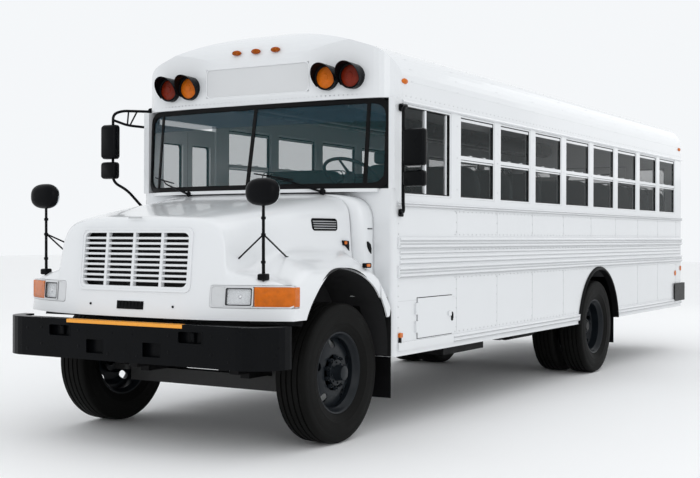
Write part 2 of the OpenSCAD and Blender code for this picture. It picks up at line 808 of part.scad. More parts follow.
module marker_lamps() {
    color("#d97a18") {
        difference() {
            union() {
                for (x = [-marker_pitch, 0, marker_pitch])
                    block([x - 38, 490, 2905], [x + 38, 560, 2945]);
                both_sides() block([half_w - 40, 700, 2615], [half_w + 16, 780, 2655]);
            }
            cap_solid(-seam);
        }
        both_sides() {
            block([half_w + seam, body_rear_y - 160, 2600], [half_w + 18, body_rear_y - 80, 2640]);
            block([half_w + seam, 645, 700], [half_w + 18, 690, 740]);
            rod_y([1040, body_rear_y + seam, 2850], 30, 20);
        }
        for (x = [-marker_pitch, 0, marker_pitch])
            block([x - 38, body_rear_y + seam, 2900], [x + 38, body_rear_y + 22, 2940]);
    }
}

module tail_lamps() {
    color("#8d1512") both_sides() {
        rod_y([985, body_rear_y + seam, 1560], 88, 34);
        rod_y([985, body_rear_y + seam, 1330], 88, 34);
        rod_y([760, body_rear_y + seam, 1560], 52, 34);
    }
}

module left_mirror() {
    color("#17181a") {
        x = half_w + 78;
        y = 575;
        bar([half_w + 16, 660, 2440], [x, y, 2420], 14);
        bar([x, y, 2430], [x, y, 1700], 14);
        bar([half_w + 16, 660, 1640], [x, y, 1710], 14);
        for (z = [1640, 2430]) block([half_w + seam, 640, z - 30], [half_w + 20, 690, z + 30]);
        block([x + 6, y - 32, 1985], [x + 186, y + 30, 2259]);
        block([x + 6, y - 32, 1832], [x + 186, y + 26, 1950]);
    }
}

module right_mirror() {
    color("#17181a") mirror([1, 0, 0]) {
        x = 1400;
        y = 400;
        bar([half_w + 20, 690, 2530], [x, y, 2490], 16);
        bar([half_w + 20, 690, 2380], [x, y, 2410], 16);
        bar([x, y, 2500], [x, y, 1900], 16);
        bar([half_w + 18, 680, 1640], [x, y, 1915], 14);
        block([half_w + seam, 660, 2350], [half_w + 24, 720, 2560]);
        block([half_w + seam, 655, 1610], [half_w + 20, 705, 1670]);
        block([x - 50, y - 40, 2110], [x + 110, y + 30, 2400]);
        block([x - 50, y - 40, 1942], [x + 110, y + 26, 2085]);
    }
}

module mud_flaps() {
    color("#131314") both_sides() {
        block([780, front_y + 34, 250], [1170, front_y + 44, skirt_z - seam]);
        block([620, wheelbase + 660, 270], [inner_x - 8, wheelbase + 670, floor_z - floor_t - seam]);
    }
}

// ---- hood ----

function hood_front_y(x) = -960 + 253 * pow(abs(x) / fender_x, 3);
fender_rear_y = 565;
arch_lip = 92;
fender_inner_x = 1056;
grille_half = 490;
grille_z0 = 1093;
grille_h = 411;
grille_lean = atan2(46, grille_h);
lamp_x0 = 648;
lamp_z0 = 986;
lamp_z1 = 1138;
lamp_end_y = -640;

function hood_profile(w, z, d) = concat(
    [[w - d, nose_z - d]],
    arc([w - 120, z - 120], 120 - d, 0, 90, 6),
    arc([-w + 120, z - 120], 120 - d, 90, 180, 6),
    [[-w + d, nose_z - d]]
);

// Width and height of the hood's middle, from nose to rear
module hood_middle(d) {
    hull() {
        along_y(-960 + d, -950 + d) polygon(hood_profile(hood_nose_x, hood_nose_z, d));
        along_y(hood_rear_y - 10, hood_rear_y) polygon(hood_profile(hood_rear_x, hood_rear_z, d));
    }
}

// Cross section over the fenders: crown beside the hood, rounded to the outer edge
function fender_section(d) = concat(
    [[fender_x - d, nose_z - d]],
    arc([fender_x - 190, 1090], 190 - d, 0, 60, 6),
    [[900, 1350 - d], [600, 1440 - d], [-600, 1440 - d], [-900, 1350 - d]],
    arc([-fender_x + 190, 1090], 190 - d, 120, 180, 6),
    [[-fender_x + d, nose_z - d]]
);

// Side view of the hood: nose, top, then the lip that follows the wheel arch down
function hood_side(d) = concat(
    [[-960 + d, nose_z - d], [-905 + d, 1504], [-880 + d, 2000]],
    [[80, 2000]],
    arc([arch_y, arch_z], front_arch_r + arch_lip - d, 76, 30, 8),
    [[fender_rear_y - d, nose_z - d]]
);

function hood_plan(d) = concat(
    [for (i = [-12:12]) let (x = i / 12 * (fender_x - d)) [x, hood_front_y(x) + d]],
    [[fender_x - d, 700], [-fender_x + d, 700]]
);

module fender_solid(d) {
    intersection() {
        along_y(-1000, 700) polygon(fender_section(d));
        along_x(-1300, 1300) polygon(hood_side(d));
        translate([0, 0, 600]) linear_extrude(1500) polygon(hood_plan(d));
    }
}

module hood_solid(d) {
    intersection() {
        hood_middle(d);
        translate([0, 0, 600]) linear_extrude(1500) polygon(hood_plan(d));
        along_x(-1300, 1300) polygon([
            [-960 + d, nose_z - d], [-905 + d, 1504], [-880 + d, 2000], [700, 2000], [700, nose_z - d]
        ]);
    }
    fender_solid(d);
}

module hood() {
    color("#f0f2f3") difference() {
        hood_solid(0);
        hood_solid(hood_t);
        block([-2000, -400, nose_z - 50], [2000, 2000, nose_z + 0.5]);
        // Open rear of the middle
        translate([0, hood_t * 1.5, 0]) intersection() {
            hood_middle(hood_t);
            block([-1300, 0, 0], [1300, 1000, 3000]);
        }
        block([-fender_inner_x, hood_rear_y, 0], [fender_inner_x, 2000, 3000]);
        block([-fender_x + hood_t, -500, 0], [fender_x - hood_t, 500, 1150]);
        both_sides() {
            rod_x([hood_rear_x - 200, arch_y, arch_z], front_arch_r, 700);
            block([lamp_x0 - 0.5, -1200, lamp_z0 - 0.5], [1300, lamp_end_y, lamp_z1 + 0.5]);
        }
        block([-grille_half - 2, -1200, grille_z0 - 2], [grille_half + 2, -800, grille_z0 + grille_h + 2]);
    }
}

module grille() {
    color("#dfe2e4") translate([0, -950, grille_z0]) rotate([-grille_lean, 0, 0]) {
        rows_n = 10;
        frame_w = 26;
        difference() {
            block([-grille_half, 0, 2], [grille_half, 34, grille_h - 6]);
            block([-grille_half + frame_w, -1, frame_w], [grille_half - frame_w, 35, grille_h - frame_w - 6]);
        }
        slot = (grille_h - 2 * frame_w - 6) / rows_n;
        for (i = [1:rows_n - 1])
            block([-grille_half + frame_w - 1, 4, frame_w + i * slot - 6], [grille_half - frame_w + 1, 30, frame_w + i * slot + 6]);
        for (x = [-250, 0, 250])
            block([x - 9, 2, frame_w - 1], [x + 9, 32, grille_h - frame_w - 5]);
    }
}

module headlamps() {
    color("#c9ced2") both_sides() translate([0, 0, lamp_z0]) linear_extrude(lamp_z1 - lamp_z0) polygon(concat(
        [for (i = [0:8]) let (x = lamp_x0 + (fender_x - 3 - lamp_x0) * i / 8) [x, hood_front_y(x) + 3]],
        [[fender_x - 3, lamp_end_y - 0.5], [fender_x - 60, lamp_end_y - 0.5]],
        [for (i = [6:-1:0]) let (x = lamp_x0 + (fender_x - 60 - lamp_x0) * i / 7) [x, hood_front_y(x) + 60]]
    ));
}

module crossview_mirrors() {
    color("#26292b") both_sides() {
        difference() {
            union() {
                bar([985, -765, 1130], [985, -770, 1690], 13);
                bar([985, -768, 1470], [745, -740, 1290], 7);
                bar([985, -768, 1470], [905, -380, 1300], 7);
                block([950, -810, 1120], [1020, -730, 1200]);
            }
            hood_solid(-seam);
        }
        translate([985, -775, 1751]) scale([130, 66, 92]) sphere(r = 1, $fn = 24);
    }
}

// ---- wheels ----

module wheel_at(x, y) { translate([x, y, axle_z]) rotate([0, 90, 0]) children(); }

module tyre() {
    color("#1b1b1c") rotate_extrude($fn = 96) polygon(concat(
        [[rim_r + seam, -tyre_w / 2 + 26], [rim_r + 60, -tyre_w / 2]],
        arc([tyre_r - 42, -tyre_w / 2 + 42], 42, 270, 360, 5),
        arc([tyre_r - 42, tyre_w / 2 - 42], 42, 0, 90, 5),
        [[rim_r + 60, tyre_w / 2], [rim_r + seam, tyre_w / 2 - 26]]
    ));
}

// Disc wheel: a barrel, and a dished disc out to the mounting face at height face, inside on its near side
module rim(face) {
    half = tyre_w / 2 - 28;
    s = sign(face);
    f = abs(face);
    color("#4a4d50") difference() {
        rotate_extrude($fn = 96) union() {
            polygon([[rim_r - 14, -half], [rim_r, -half], [rim_r, half], [rim_r - 14, half]]);
            polygon([
                [hub_hole_r, s * (f - disc_t)], [hub_hole_r, s * f], [165, s * f],
                [rim_r - 13, s * (half - 8)], [rim_r - 13, s * (half - 26)], [160, s * (f - disc_t)]
            ]);
        }
        for (a = [36:72:360]) rotate([0, 0, a]) translate([212, 0, s * half - 60]) cylinder(r = 30, h = 120);
    }
}

disc_t = 12;
hub_hole_r = 70;
hub_r = hub_hole_r - 1;

module front_rim() {
    face = hub_x + 30 - front_track_x;
    rim(face);
    color("#4a4d50") {
        translate([0, 0, face - 30]) cylinder(r = 100, h = 30 - disc_t + 1);
        translate([0, 0, face - 14]) cylinder(r = hub_r, h = 68);
        translate([0, 0, face - 10]) cylinder(r = hub_hole_r + 2, h = 12);
    }
}

module front_tyre_left() { wheel_at(front_track_x, 0) tyre(); }
module front_rim_left() { wheel_at(front_track_x, 0) front_rim(); }

module rear_tyres_left() {
    for (x = [rear_outer_x, rear_outer_x - twin_gap]) wheel_at(x, wheelbase) tyre();
}

// The twin discs meet back to back on one hub, which turns on the axle's spindle
module rear_rims_left() {
    mid = rear_outer_x - twin_gap / 2;
    face = twin_gap / 2 - seam / 2;
    wheel_at(rear_outer_x, wheelbase) rim(-face);
    wheel_at(rear_outer_x - twin_gap, wheelbase) rim(face);
    color("#4a4d50") difference() {
        union() {
            rod_x([mid - 100, wheelbase, axle_z], hub_r, 300);
            rod_x([mid - 100, wheelbase, axle_z], 130, 100 - disc_t - seam);
        }
        rod_x([mid - 101, wheelbase, axle_z], spindle_r + seam, 101 + twin_gap / 2 + 26);
    }
}

spindle_r = 44;

// ---- doors ----

hinge_r = 5;
hinge_h = 90;
door_proud = 4;
entry_hinge_zs = [900, 2000];
rear_hinge_zs = [1150, 1650, 2200];
battery_hinge_zs = [battery_z + 50, battery_z + 190];

// Barrels on a door's hinge axis at (x, y)
module hinge_barrels(x, y, zs) { for (z = zs) translate([x, y, z]) cylinder(r = hinge_r, h = hinge_h, $fn = 24); }

leaf_t = 36;
leaf_w = entry_w / 2 - door_gap * 1.5;
leaf_rail = 62;

// One leaf of the entry door: y0 is its low edge
module entry_leaf(y0, hinge_y) {
    color("#e8eaec") mirror([1, 0, 0]) hinge_barrels(half_w + door_proud, hinge_y, entry_hinge_zs);
    color("#e8eaec") mirror([1, 0, 0]) difference() {
        block([half_w - leaf_t, y0, entry_z + door_gap], [half_w, y0 + leaf_w, entry_top_z - door_gap]);
        for (z = [entry_z + 110, entry_z + 1010])
            block([half_w - leaf_t - 1, y0 + leaf_rail, z], [half_w + 1, y0 + leaf_w - leaf_rail, z + 840]);
    }
}

module entry_glass(y0) {
    color("#4c6570") mirror([1, 0, 0]) for (z = [entry_z + 110, entry_z + 1010])
        block([half_w - 22, y0 + leaf_rail, z], [half_w - 22 + glass_t, y0 + leaf_w - leaf_rail, z + 840]);
}

front_leaf_y = entry_y + door_gap;
rear_leaf_y = entry_rear_y - door_gap - leaf_w;

module rear_door() {
    color("#eceef0") {
        hinge_barrels(-rear_door_w / 2 + door_gap, body_rear_y + door_proud, rear_hinge_zs);
        difference() {
            block([-rear_door_w / 2 + door_gap, body_rear_y - 40, rear_door_z + door_gap],
                  [rear_door_w / 2 - door_gap, body_rear_y, rear_door_top - door_gap]);
            for (w = rear_door_panes)
                block([-w[0], 0, w[1]], [w[0], overall_l, w[2]]);
        }
        block([rear_door_w / 2 - 150, body_rear_y - 1, 1620], [rear_door_w / 2 - 60, body_rear_y + 40, 1660]);
    }
}

rear_door_panes = [[370, 1800, 2330], [370, 1180, 1560]]; // [half width, low z, high z]

module rear_door_glass() {
    color("#4c6570") for (w = rear_door_panes)
        block([-w[0], body_rear_y - 26, w[1]], [w[0], body_rear_y - 26 + glass_t, w[2]]);
}

module battery_door() {
    color("#eceef0") {
        hinge_barrels(half_w + 8 + door_proud, battery_y + door_gap, battery_hinge_zs);
        block([half_w - 24, battery_y + door_gap, battery_z + door_gap],
              [half_w + 8, battery_y + battery_w - door_gap, battery_z + battery_h - door_gap]);
        block([half_w + 7, battery_y + battery_w - 90, battery_z + 150], [half_w + 20, battery_y + battery_w - 40, battery_z + 190]);
    }
}

at_origin() chassis_frame();
at_origin() front_axle();
at_origin() rear_axle();
at_origin() leaf_springs();
at_origin() engine();
at_origin() drive_shaft();
at_origin() tanks();
at_origin() exhaust();
at_origin() front_bumper();
at_origin() rear_bumper();
at_origin() floor();
at_origin() wheel_houses();
at_origin() entry_steps();
at_origin() left_side();
at_origin() right_side();
at_origin() battery_box();
at_origin() roof();
at_origin() front_cap();
at_origin() rear_wall();
at_origin() front_panel();
at_origin() cowl();
at_origin() windshield();
at_origin() windshield_seal();
at_origin() window_glass();
at_origin() window_sashes();
at_origin() seat_cushions();
at_origin() seat_backs();
at_origin() seat_legs();
at_origin() driver_seat();
at_origin() dashboard();
at_origin() warning_lamps();
at_origin() marker_lamps();
at_origin() tail_lamps();
at_origin() left_mirror();
at_origin() right_mirror();
at_origin() mud_flaps();
at_origin() hood();
at_origin() grille();
at_origin() headlamps();
at_origin() crossview_mirrors();
at_origin() knuckle();  // left_knuckle
at_origin() mirror([1, 0, 0]) knuckle();  // right_knuckle
at_origin() front_tyre_left();  // front_left_tyre
at_origin() front_rim_left();  // front_left_rim
at_origin() mirror([1, 0, 0]) front_tyre_left();  // front_right_tyre
at_origin() mirror([1, 0, 0]) front_rim_left();  // front_right_rim
at_origin() rear_tyres_left();  // rear_left_tyres
at_origin() rear_rims_left();  // rear_left_rims
at_origin() mirror([1, 0, 0]) rear_tyres_left();  // rear_right_tyres
at_origin() mirror([1, 0, 0]) rear_rims_left();  // rear_right_rims
at_origin() steering_wheel();
at_origin() entry_leaf(front_leaf_y, front_leaf_y);  // entry_front_leaf
at_origin() entry_glass(front_leaf_y);  // entry_front_glass
at_origin() entry_leaf(rear_leaf_y, rear_leaf_y + leaf_w);  // entry_rear_leaf
at_origin() entry_glass(rear_leaf_y);  // entry_rear_glass
at_origin() rear_door();
at_origin() rear_door_glass();
at_origin() battery_door();
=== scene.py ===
"""Looks of the white school bus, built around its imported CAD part.

Shapes are written in millimetres from the front axle's middle at road level, as in the CAD part,
and turned into metres in the row frame by place().
"""

import math

import bmesh
import bpy
from mathutils import Matrix, Vector


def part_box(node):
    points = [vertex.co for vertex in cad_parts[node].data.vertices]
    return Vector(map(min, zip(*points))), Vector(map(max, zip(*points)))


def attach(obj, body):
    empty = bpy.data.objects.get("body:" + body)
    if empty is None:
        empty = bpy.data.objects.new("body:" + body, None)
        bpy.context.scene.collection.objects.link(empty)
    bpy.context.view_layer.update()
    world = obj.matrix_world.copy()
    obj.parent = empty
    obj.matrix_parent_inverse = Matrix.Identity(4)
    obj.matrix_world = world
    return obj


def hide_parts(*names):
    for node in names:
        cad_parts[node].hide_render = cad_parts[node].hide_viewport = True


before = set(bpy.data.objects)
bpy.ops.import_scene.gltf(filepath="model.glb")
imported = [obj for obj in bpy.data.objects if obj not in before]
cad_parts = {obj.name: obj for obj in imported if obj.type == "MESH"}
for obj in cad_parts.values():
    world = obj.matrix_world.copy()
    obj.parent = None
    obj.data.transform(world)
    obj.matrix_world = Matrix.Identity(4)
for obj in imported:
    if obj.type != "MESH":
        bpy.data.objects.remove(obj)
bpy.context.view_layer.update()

# ---- driving sizes, mm ----

LENGTH = 9590
FRONT_AXLE_Y = LENGTH / 2 - 1030  # the row frame's middle is this far behind the front axle
WHEELBASE = 5190
HALF_W = 1219
AXLE_Z = 497
SKIRT_Z = 562
SILL_Z = 1775
HEADER_Z = 2466
ROOF_Z = 3080
FRONT_Y = 585
REAR_Y = LENGTH - 1030 - 115
FENDER_X = 1188
HOOD_REAR_Y = 430
NOSE_Z = 905
ARCH = (-30, 638, 593)  # front wheel arch: y, z, radius
REAR_ARCH_R = 618
WINDOW_Y = 1717
WINDOW_PITCH = 819
WINDOW_W = 690
WINDOW_N = 8
DRIVER_WINDOW = (690, 852)


def place(p):
    """A point in millimetres from the front axle, as a point of the row frame in metres."""
    return Vector((p[0], p[1] - FRONT_AXLE_Y, p[2])) / 1000


# ---- finishes ----


def surface(name, colour, rough, vary=0.05, scale=3.0, grain=0.0, grain_scale=300.0, stretch=(1, 1, 1), **sockets):
    """A Principled finish whose colour and roughness drift over the surface, with a fine grain in its bump."""
    mat = bpy.data.materials.new(name)
    mat.use_nodes = True
    nodes, links = mat.node_tree.nodes, mat.node_tree.links
    bsdf = nodes["Principled BSDF"]
    coords = nodes.new("ShaderNodeTexCoord")
    mapping = nodes.new("ShaderNodeMapping")
    mapping.inputs["Scale"].default_value = stretch
    links.new(coords.outputs["Object"], mapping.inputs["Vector"])
    noise = nodes.new("ShaderNodeTexNoise")
    noise.inputs["Scale"].default_value = scale
    noise.inputs["Detail"].default_value = 8
    links.new(mapping.outputs["Vector"], noise.inputs["Vector"])
    mix = nodes.new("ShaderNodeMix")
    mix.data_type = "RGBA"
    mix.inputs[6].default_value = [max(0, c * (1 - vary)) for c in colour] + [1]
    mix.inputs[7].default_value = [min(1, c * (1 + vary)) for c in colour] + [1]
    links.new(noise.outputs["Fac"], mix.inputs[0])
    links.new(mix.outputs[2], bsdf.inputs["Base Color"])
    spread = nodes.new("ShaderNodeMapRange")
    spread.inputs["To Min"].default_value = rough * 0.8
    spread.inputs["To Max"].default_value = min(1, rough * 1.25)
    links.new(noise.outputs["Fac"], spread.inputs["Value"])
    links.new(spread.outputs["Result"], bsdf.inputs["Roughness"])
    if grain:
        fine = nodes.new("ShaderNodeTexNoise")
        fine.inputs["Scale"].default_value = grain_scale
        fine.inputs["Detail"].default_value = 4
        links.new(mapping.outputs["Vector"], fine.inputs["Vector"])
        bump = nodes.new("ShaderNodeBump")
        bump.inputs["Strength"].default_value = grain
        bump.inputs["Distance"].default_value = 0.002
        links.new(fine.outputs["Fac"], bump.inputs["Height"])
        links.new(bump.outputs["Normal"], bsdf.inputs["Normal"])
    for socket, value in sockets.items():
        bsdf.inputs[socket.replace("_", " ")].default_value = value
    return mat


WAVE_METRES = 0.314  # one band of the wave texture at scale 1


def ribbed(mat, pitch, depth, direction):
    """Adds moulded ribs, pitch metres apart, to a lens finish."""
    nodes, links = mat.node_tree.nodes, mat.node_tree.links
    coords = next(n for n in nodes if n.type == "TEX_COORD")
    wave = nodes.new("ShaderNodeTexWave")
    wave.bands_direction = direction
    wave.inputs["Scale"].default_value = WAVE_METRES / pitch
    links.new(coords.outputs["Object"], wave.inputs["Vector"])
    bump = nodes.new("ShaderNodeBump")
    bump.inputs["Strength"].default_value = depth
    bump.inputs["Distance"].default_value = 0.004
    links.new(wave.outputs["Fac"], bump.inputs["Height"])
    links.new(bump.outputs["Normal"], nodes["Principled BSDF"].inputs["Normal"])
    return mat


WHITE = surface("white enamel", (0.74, 0.755, 0.77), 0.24, 0.018, 1.6, 0.04, 220, Coat_Weight=0.55, Coat_Roughness=0.06)
# White enamel darkened to paint the shade in grooves, seams and slots and round rivets
WHITE_IN_PAINTED_SHADE = surface("white enamel darkened as painted shade", (0.50, 0.51, 0.52), 0.5, 0.12, 12, 0.1, 250)
BLACK = surface("satin black paint", (0.003, 0.0034, 0.0042), 0.28, 0.3, 5, 0.12, 260, Specular_IOR_Level=0.07)
CHASSIS = surface("black undercoat", (0.009, 0.009, 0.0095), 0.62, 0.35, 9, 0.5, 120, Specular_IOR_Level=0.15)
IRON = surface("cast iron", (0.05, 0.05, 0.05), 0.6, 0.3, 14, 0.6, 150, Metallic=0.5)
ALUMINIUM = surface("satin aluminium", (0.62, 0.63, 0.64), 0.34, 0.06, 8, 0.06, 500, (1, 1, 12), Metallic=0.85)
CHROME = surface("bright reflector", (0.82, 0.83, 0.84), 0.12, 0.05, 9, 0.05, 80, Metallic=1.0)
GLASS = surface("tinted glass", (0.006, 0.012, 0.013), 0.03, 0.2, 1.2, Alpha=0.27, IOR=1.52, Specular_IOR_Level=0.2)
SCREEN = surface("windshield glass", (0.05, 0.13, 0.145), 0.03, 0.2, 1.0, Alpha=0.11, IOR=1.52, Specular_IOR_Level=0.3)
SUNBAND = surface("windshield shade band", (0.012, 0.045, 0.065), 0.03, 0.2, 1.0, Alpha=0.45, IOR=1.52,
                  Specular_IOR_Level=0.3)
RUBBER = surface("black rubber", (0.004, 0.004, 0.0045), 0.5, 0.3, 10, 0.2, 300, Specular_IOR_Level=0.1)
TYRE = surface("tyre rubber", (0.0055, 0.0055, 0.0052), 0.6, 0.35, 7, 0.4, 240, Specular_IOR_Level=0.07)
RIM = surface("dark grey enamel", (0.008, 0.0105, 0.0135), 0.34, 0.35, 11, 0.15, 160, Specular_IOR_Level=0.18)
VINYL = surface("dark green vinyl", (0.012, 0.024, 0.025), 0.5, 0.16, 9, 0.4, 420, Specular_IOR_Level=0.3)
FLOOR_RUBBER = surface("ribbed floor rubber", (0.045, 0.047, 0.05), 0.66, 0.2, 9, 0.35, 260)
PLASTIC = surface("grained dark plastic", (0.022, 0.024, 0.027), 0.55, 0.15, 12, 0.45, 420, Specular_IOR_Level=0.2)
RED = ribbed(surface("red lens", (0.19, 0.016, 0.004), 0.2, 0.35, 30, Specular_IOR_Level=0.25), 0.008, 0.6, "Z")
AMBER = ribbed(surface("amber lens", (0.66, 0.15, 0.006), 0.2, 0.3, 30, Specular_IOR_Level=0.25), 0.008, 0.6, "Z")
TAPE = surface("amber reflective tape", (0.88, 0.36, 0.03), 0.4, 0.12, 60, 0.15, 700)
CLEAR = ribbed(surface("clear lens", (0.82, 0.84, 0.86), 0.06, 0.06, 30, Alpha=0.22, Coat_Weight=0.5), 0.012, 0.7, "X")
# Floor of the sign recess, darker than the white enamel: painted shade of the recess
SIGN_RECESS_SHADE = surface("sign board darkened as painted recess shade", (0.64, 0.65, 0.66), 0.4, 0.03, 2, 0.05, 260)
SILVER = surface("silvered bezel", (0.62, 0.63, 0.64), 0.3, 0.08, 20, 0.06, 300, Metallic=0.7)
STEEL = surface("aluminised steel", (0.28, 0.265, 0.25), 0.42, 0.3, 12, 0.2, 200, (1, 1, 1), Metallic=0.85)
MIRROR = surface("mirror glass", (0.7, 0.73, 0.75), 0.03, 0.04, 4, Metallic=1.0)
# Black of the wheel liners and the radiator, and painted shade behind the grille and in door gaps
BLACK_LINER_AND_VOID_SHADE = surface("black liner and painted void shade", (0.008, 0.008, 0.009), 0.8, 0.3, 8, 0.1, 200)

FINISHES = {
    "white_paint": WHITE, "black_paint": BLACK, "chassis_black": CHASSIS, "cast_iron": IRON, "aluminium": ALUMINIUM,
    "glass": GLASS, "rubber": RUBBER, "tyre": TYRE, "rim_paint": RIM, "seat_vinyl": VINYL, "floor_rubber": FLOOR_RUBBER,
    "interior_plastic": PLASTIC, "lamp_red": RED, "lamp_amber": AMBER, "lamp_clear": CLEAR, "steel": STEEL,
}


def finish_node(node, *materials):
    """Puts materials on a CAD node that stays, and rounds its sharp edges."""
    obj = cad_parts[node]
    obj.data.materials.clear()
    for mat in materials:
        obj.data.materials.append(mat)
    bevel = obj.modifiers.new("edges", "BEVEL")
    bevel.width, bevel.segments, bevel.limit_method, bevel.angle_limit = 0.003, 2, "ANGLE", math.radians(40)
    bevel.use_clamp_overlap = True


# ---- shapes ----


class Shape:
    """Vertices and faces of one piece, in millimetres from the front axle."""

    def __init__(self):
        self.verts, self.faces = [], []

    def add(self, verts, faces):
        n = len(self.verts)
        self.verts += [tuple(v) for v in verts]
        self.faces += [tuple(n + i for i in f) for f in faces]
        return self

    def grid(self, rows, close_u=False, close_v=False, caps=False):
        """A net of points: rows run one way, the points of a row the other."""
        h, w = len(rows), len(rows[0])
        faces = [
            (i * w + j, i * w + (j + 1) % w, (i + 1) % h * w + (j + 1) % w, (i + 1) % h * w + j)
            for i in range(h if close_v else h - 1)
            for j in range(w if close_u else w - 1)
        ]
        if caps:
            faces += [tuple(range(w - 1, -1, -1)), tuple((h - 1) * w + j for j in range(w))]
        return self.add([p for row in rows for p in row], faces)

    def box(self, low, high):
        x0, y0, z0 = low
        x1, y1, z1 = high
        return self.grid([[(x0, y0, z0), (x1, y0, z0), (x1, y1, z0), (x0, y1, z0)],
                          [(x0, y0, z1), (x1, y0, z1), (x1, y1, z1), (x0, y1, z1)]], close_u=True, caps=True)

    def prism(self, outline, axis, low, high):
        """A flat outline pulled along an axis: (y, z) along x, (x, z) along y, or (x, y) along z."""
        turn = {"x": lambda a, b, t: (t, a, b), "y": lambda a, b, t: (a, t, b), "z": lambda a, b, t: (a, b, t)}[axis]
        return self.grid([[turn(a, b, t) for a, b in outline] for t in (low, high)], close_u=True, caps=True)

    def tube(self, path, radius, n=10):
        """A round tube along a path of points. radius is one number, or one for each point."""
        path = [Vector(p) for p in path]
        radii = radius if isinstance(radius, (list, tuple)) else [radius] * len(path)
        rows, side = [], None
        for i, p in enumerate(path):
            ahead = (path[min(i + 1, len(path) - 1)] - path[max(i - 1, 0)]).normalized()
            if side is None:
                side = ahead.orthogonal().normalized()
            side = (side - ahead * side.dot(ahead)).normalized()
            up = ahead.cross(side)
            rows.append([p + radii[i] * (side * math.cos(a) + up * math.sin(a)) for a in turns(n)])
        return self.grid(rows, close_u=True, caps=True)

    def lathe(self, profile, centre, axis="x", n=48, loop=False):
        """A profile of (distance along the axis, radius) turned about the axis through centre."""
        rows = [[spun(centre, axis, t, r, a) for a in turns(n)] for t, r in profile]
        return self.grid(rows, close_u=True, close_v=loop)

    def ball(self, centre, radii, n=20):
        rows = [
            [(centre[0] + radii[0] * math.sin(b) * math.cos(a), centre[1] + radii[1] * math.sin(b) * math.sin(a),
              centre[2] + radii[2] * math.cos(b)) for a in turns(n)]
            for b in [math.pi * (i + 0.5) / (n // 2) for i in range(n // 2)]
        ]
        return self.grid(rows, close_u=True, caps=True)

    def mirrored(self):
        """Adds the same shape on the other side of the bus."""
        n, faces = len(self.verts), list(self.faces)
        self.verts += [(-x, y, z) for x, y, z in self.verts]
        self.faces += [tuple(n + i for i in reversed(f)) for f in faces]
        return self

    def moved(self, offset):
        self.verts = [tuple(Vector(v) + Vector(offset)) for v in self.verts]
        return self


def turns(n, start=0.0):
    return [start + 2 * math.pi * i / n for i in range(n)]


def spun(centre, axis, t, r, a):
    c, s = r * math.cos(a), r * math.sin(a)
    local = {"x": (t, c, s), "y": (c, t, s), "z": (c, s, t)}[axis]
    return tuple(centre[i] + local[i] for i in range(3))


def arc(cy, cz, r, a0, a1, n):
    """Points of an arc from a0 to a1 degrees."""
    angles = [math.radians(a0 + (a1 - a0) * i / n) for i in range(n + 1)]
    return [(cy + r * math.cos(a), cz + r * math.sin(a)) for a in angles]


def rounded(low, high, r, n=5):
    """Outline of a rectangle with rounded corners."""
    (x0, y0), (x1, y1) = low, high
    corners = [(x1 - r, y0 + r, -90), (x1 - r, y1 - r, 0), (x0 + r, y1 - r, 90), (x0 + r, y0 + r, 180)]
    return [p for cx, cy, a in corners for p in arc(cx, cy, r, a, a + 90, n)]


def shrunk(outline, a0, b0, ka, kb):
    """An outline scaled by ka and kb about the point (a0, b0)."""
    return [(a0 + (a - a0) * ka, b0 + (b - b0) * kb) for a, b in outline]


def border(a0, a1, b0, b1, t):
    """Opposite corners of four strips, t wide, along the inside of a rectangle's edges."""
    return ((a0, b0), (a1, b0 + t)), ((a0, b1 - t), (a1, b1)), ((a0, b0), (a0 + t, b1)), ((a1 - t, b0), (a1, b1))


def piece(name, shape, body, material, replaces=(), smooth=40, bevel=0.0, weld=False):
    """Makes one Blender object of a shape, gives it its finish, and lets it ride on a CAD body."""
    mesh = bpy.data.meshes.new(name)
    mesh.from_pydata([place(v) for v in shape.verts], [], shape.faces)
    mesh.materials.append(material)
    mesh.validate()
    if weld:
        work = bmesh.new()
        work.from_mesh(mesh)
        bmesh.ops.remove_doubles(work, verts=work.verts[:], dist=0.0015)
        bmesh.ops.recalc_face_normals(work, faces=work.faces[:])
        work.to_mesh(mesh)
        work.free()
    obj = bpy.data.objects.new(name, mesh)
    bpy.context.scene.collection.objects.link(obj)
    if bevel:
        edges = obj.modifiers.new("edges", "BEVEL")
        edges.width, edges.segments, edges.limit_method = bevel, 2, "ANGLE"
        edges.angle_limit = math.radians(38)
    if smooth:
        mesh.polygons.foreach_set("use_smooth", [True] * len(mesh.polygons))
        mesh.set_sharp_from_angle(angle=math.radians(smooth))
    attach(obj, body)
    if replaces:
        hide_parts(*replaces)
    return obj


def slot_of(node):
    """The record's material slot of a CAD node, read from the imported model's own material name."""
    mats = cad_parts[node].data.materials
    name = mats[0].name if mats and mats[0] else ""
    return next((slot for slot in FINISHES if name.startswith(slot)), "white_paint")


node_slots = {node: slot_of(node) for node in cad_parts}
for node, slot in node_slots.items():
    finish_node(node, FINISHES[slot])

def thick_skin(obj, levels, thickness):
    """Rounds a one-sided skin and gives it a thickness, in metres, to its inner side."""
    rounding = obj.modifiers.new("rounding", "SUBSURF")
    rounding.levels = rounding.render_levels = levels
    shell = obj.modifiers.new("thickness", "SOLIDIFY")
    shell.thickness, shell.offset = thickness, -1


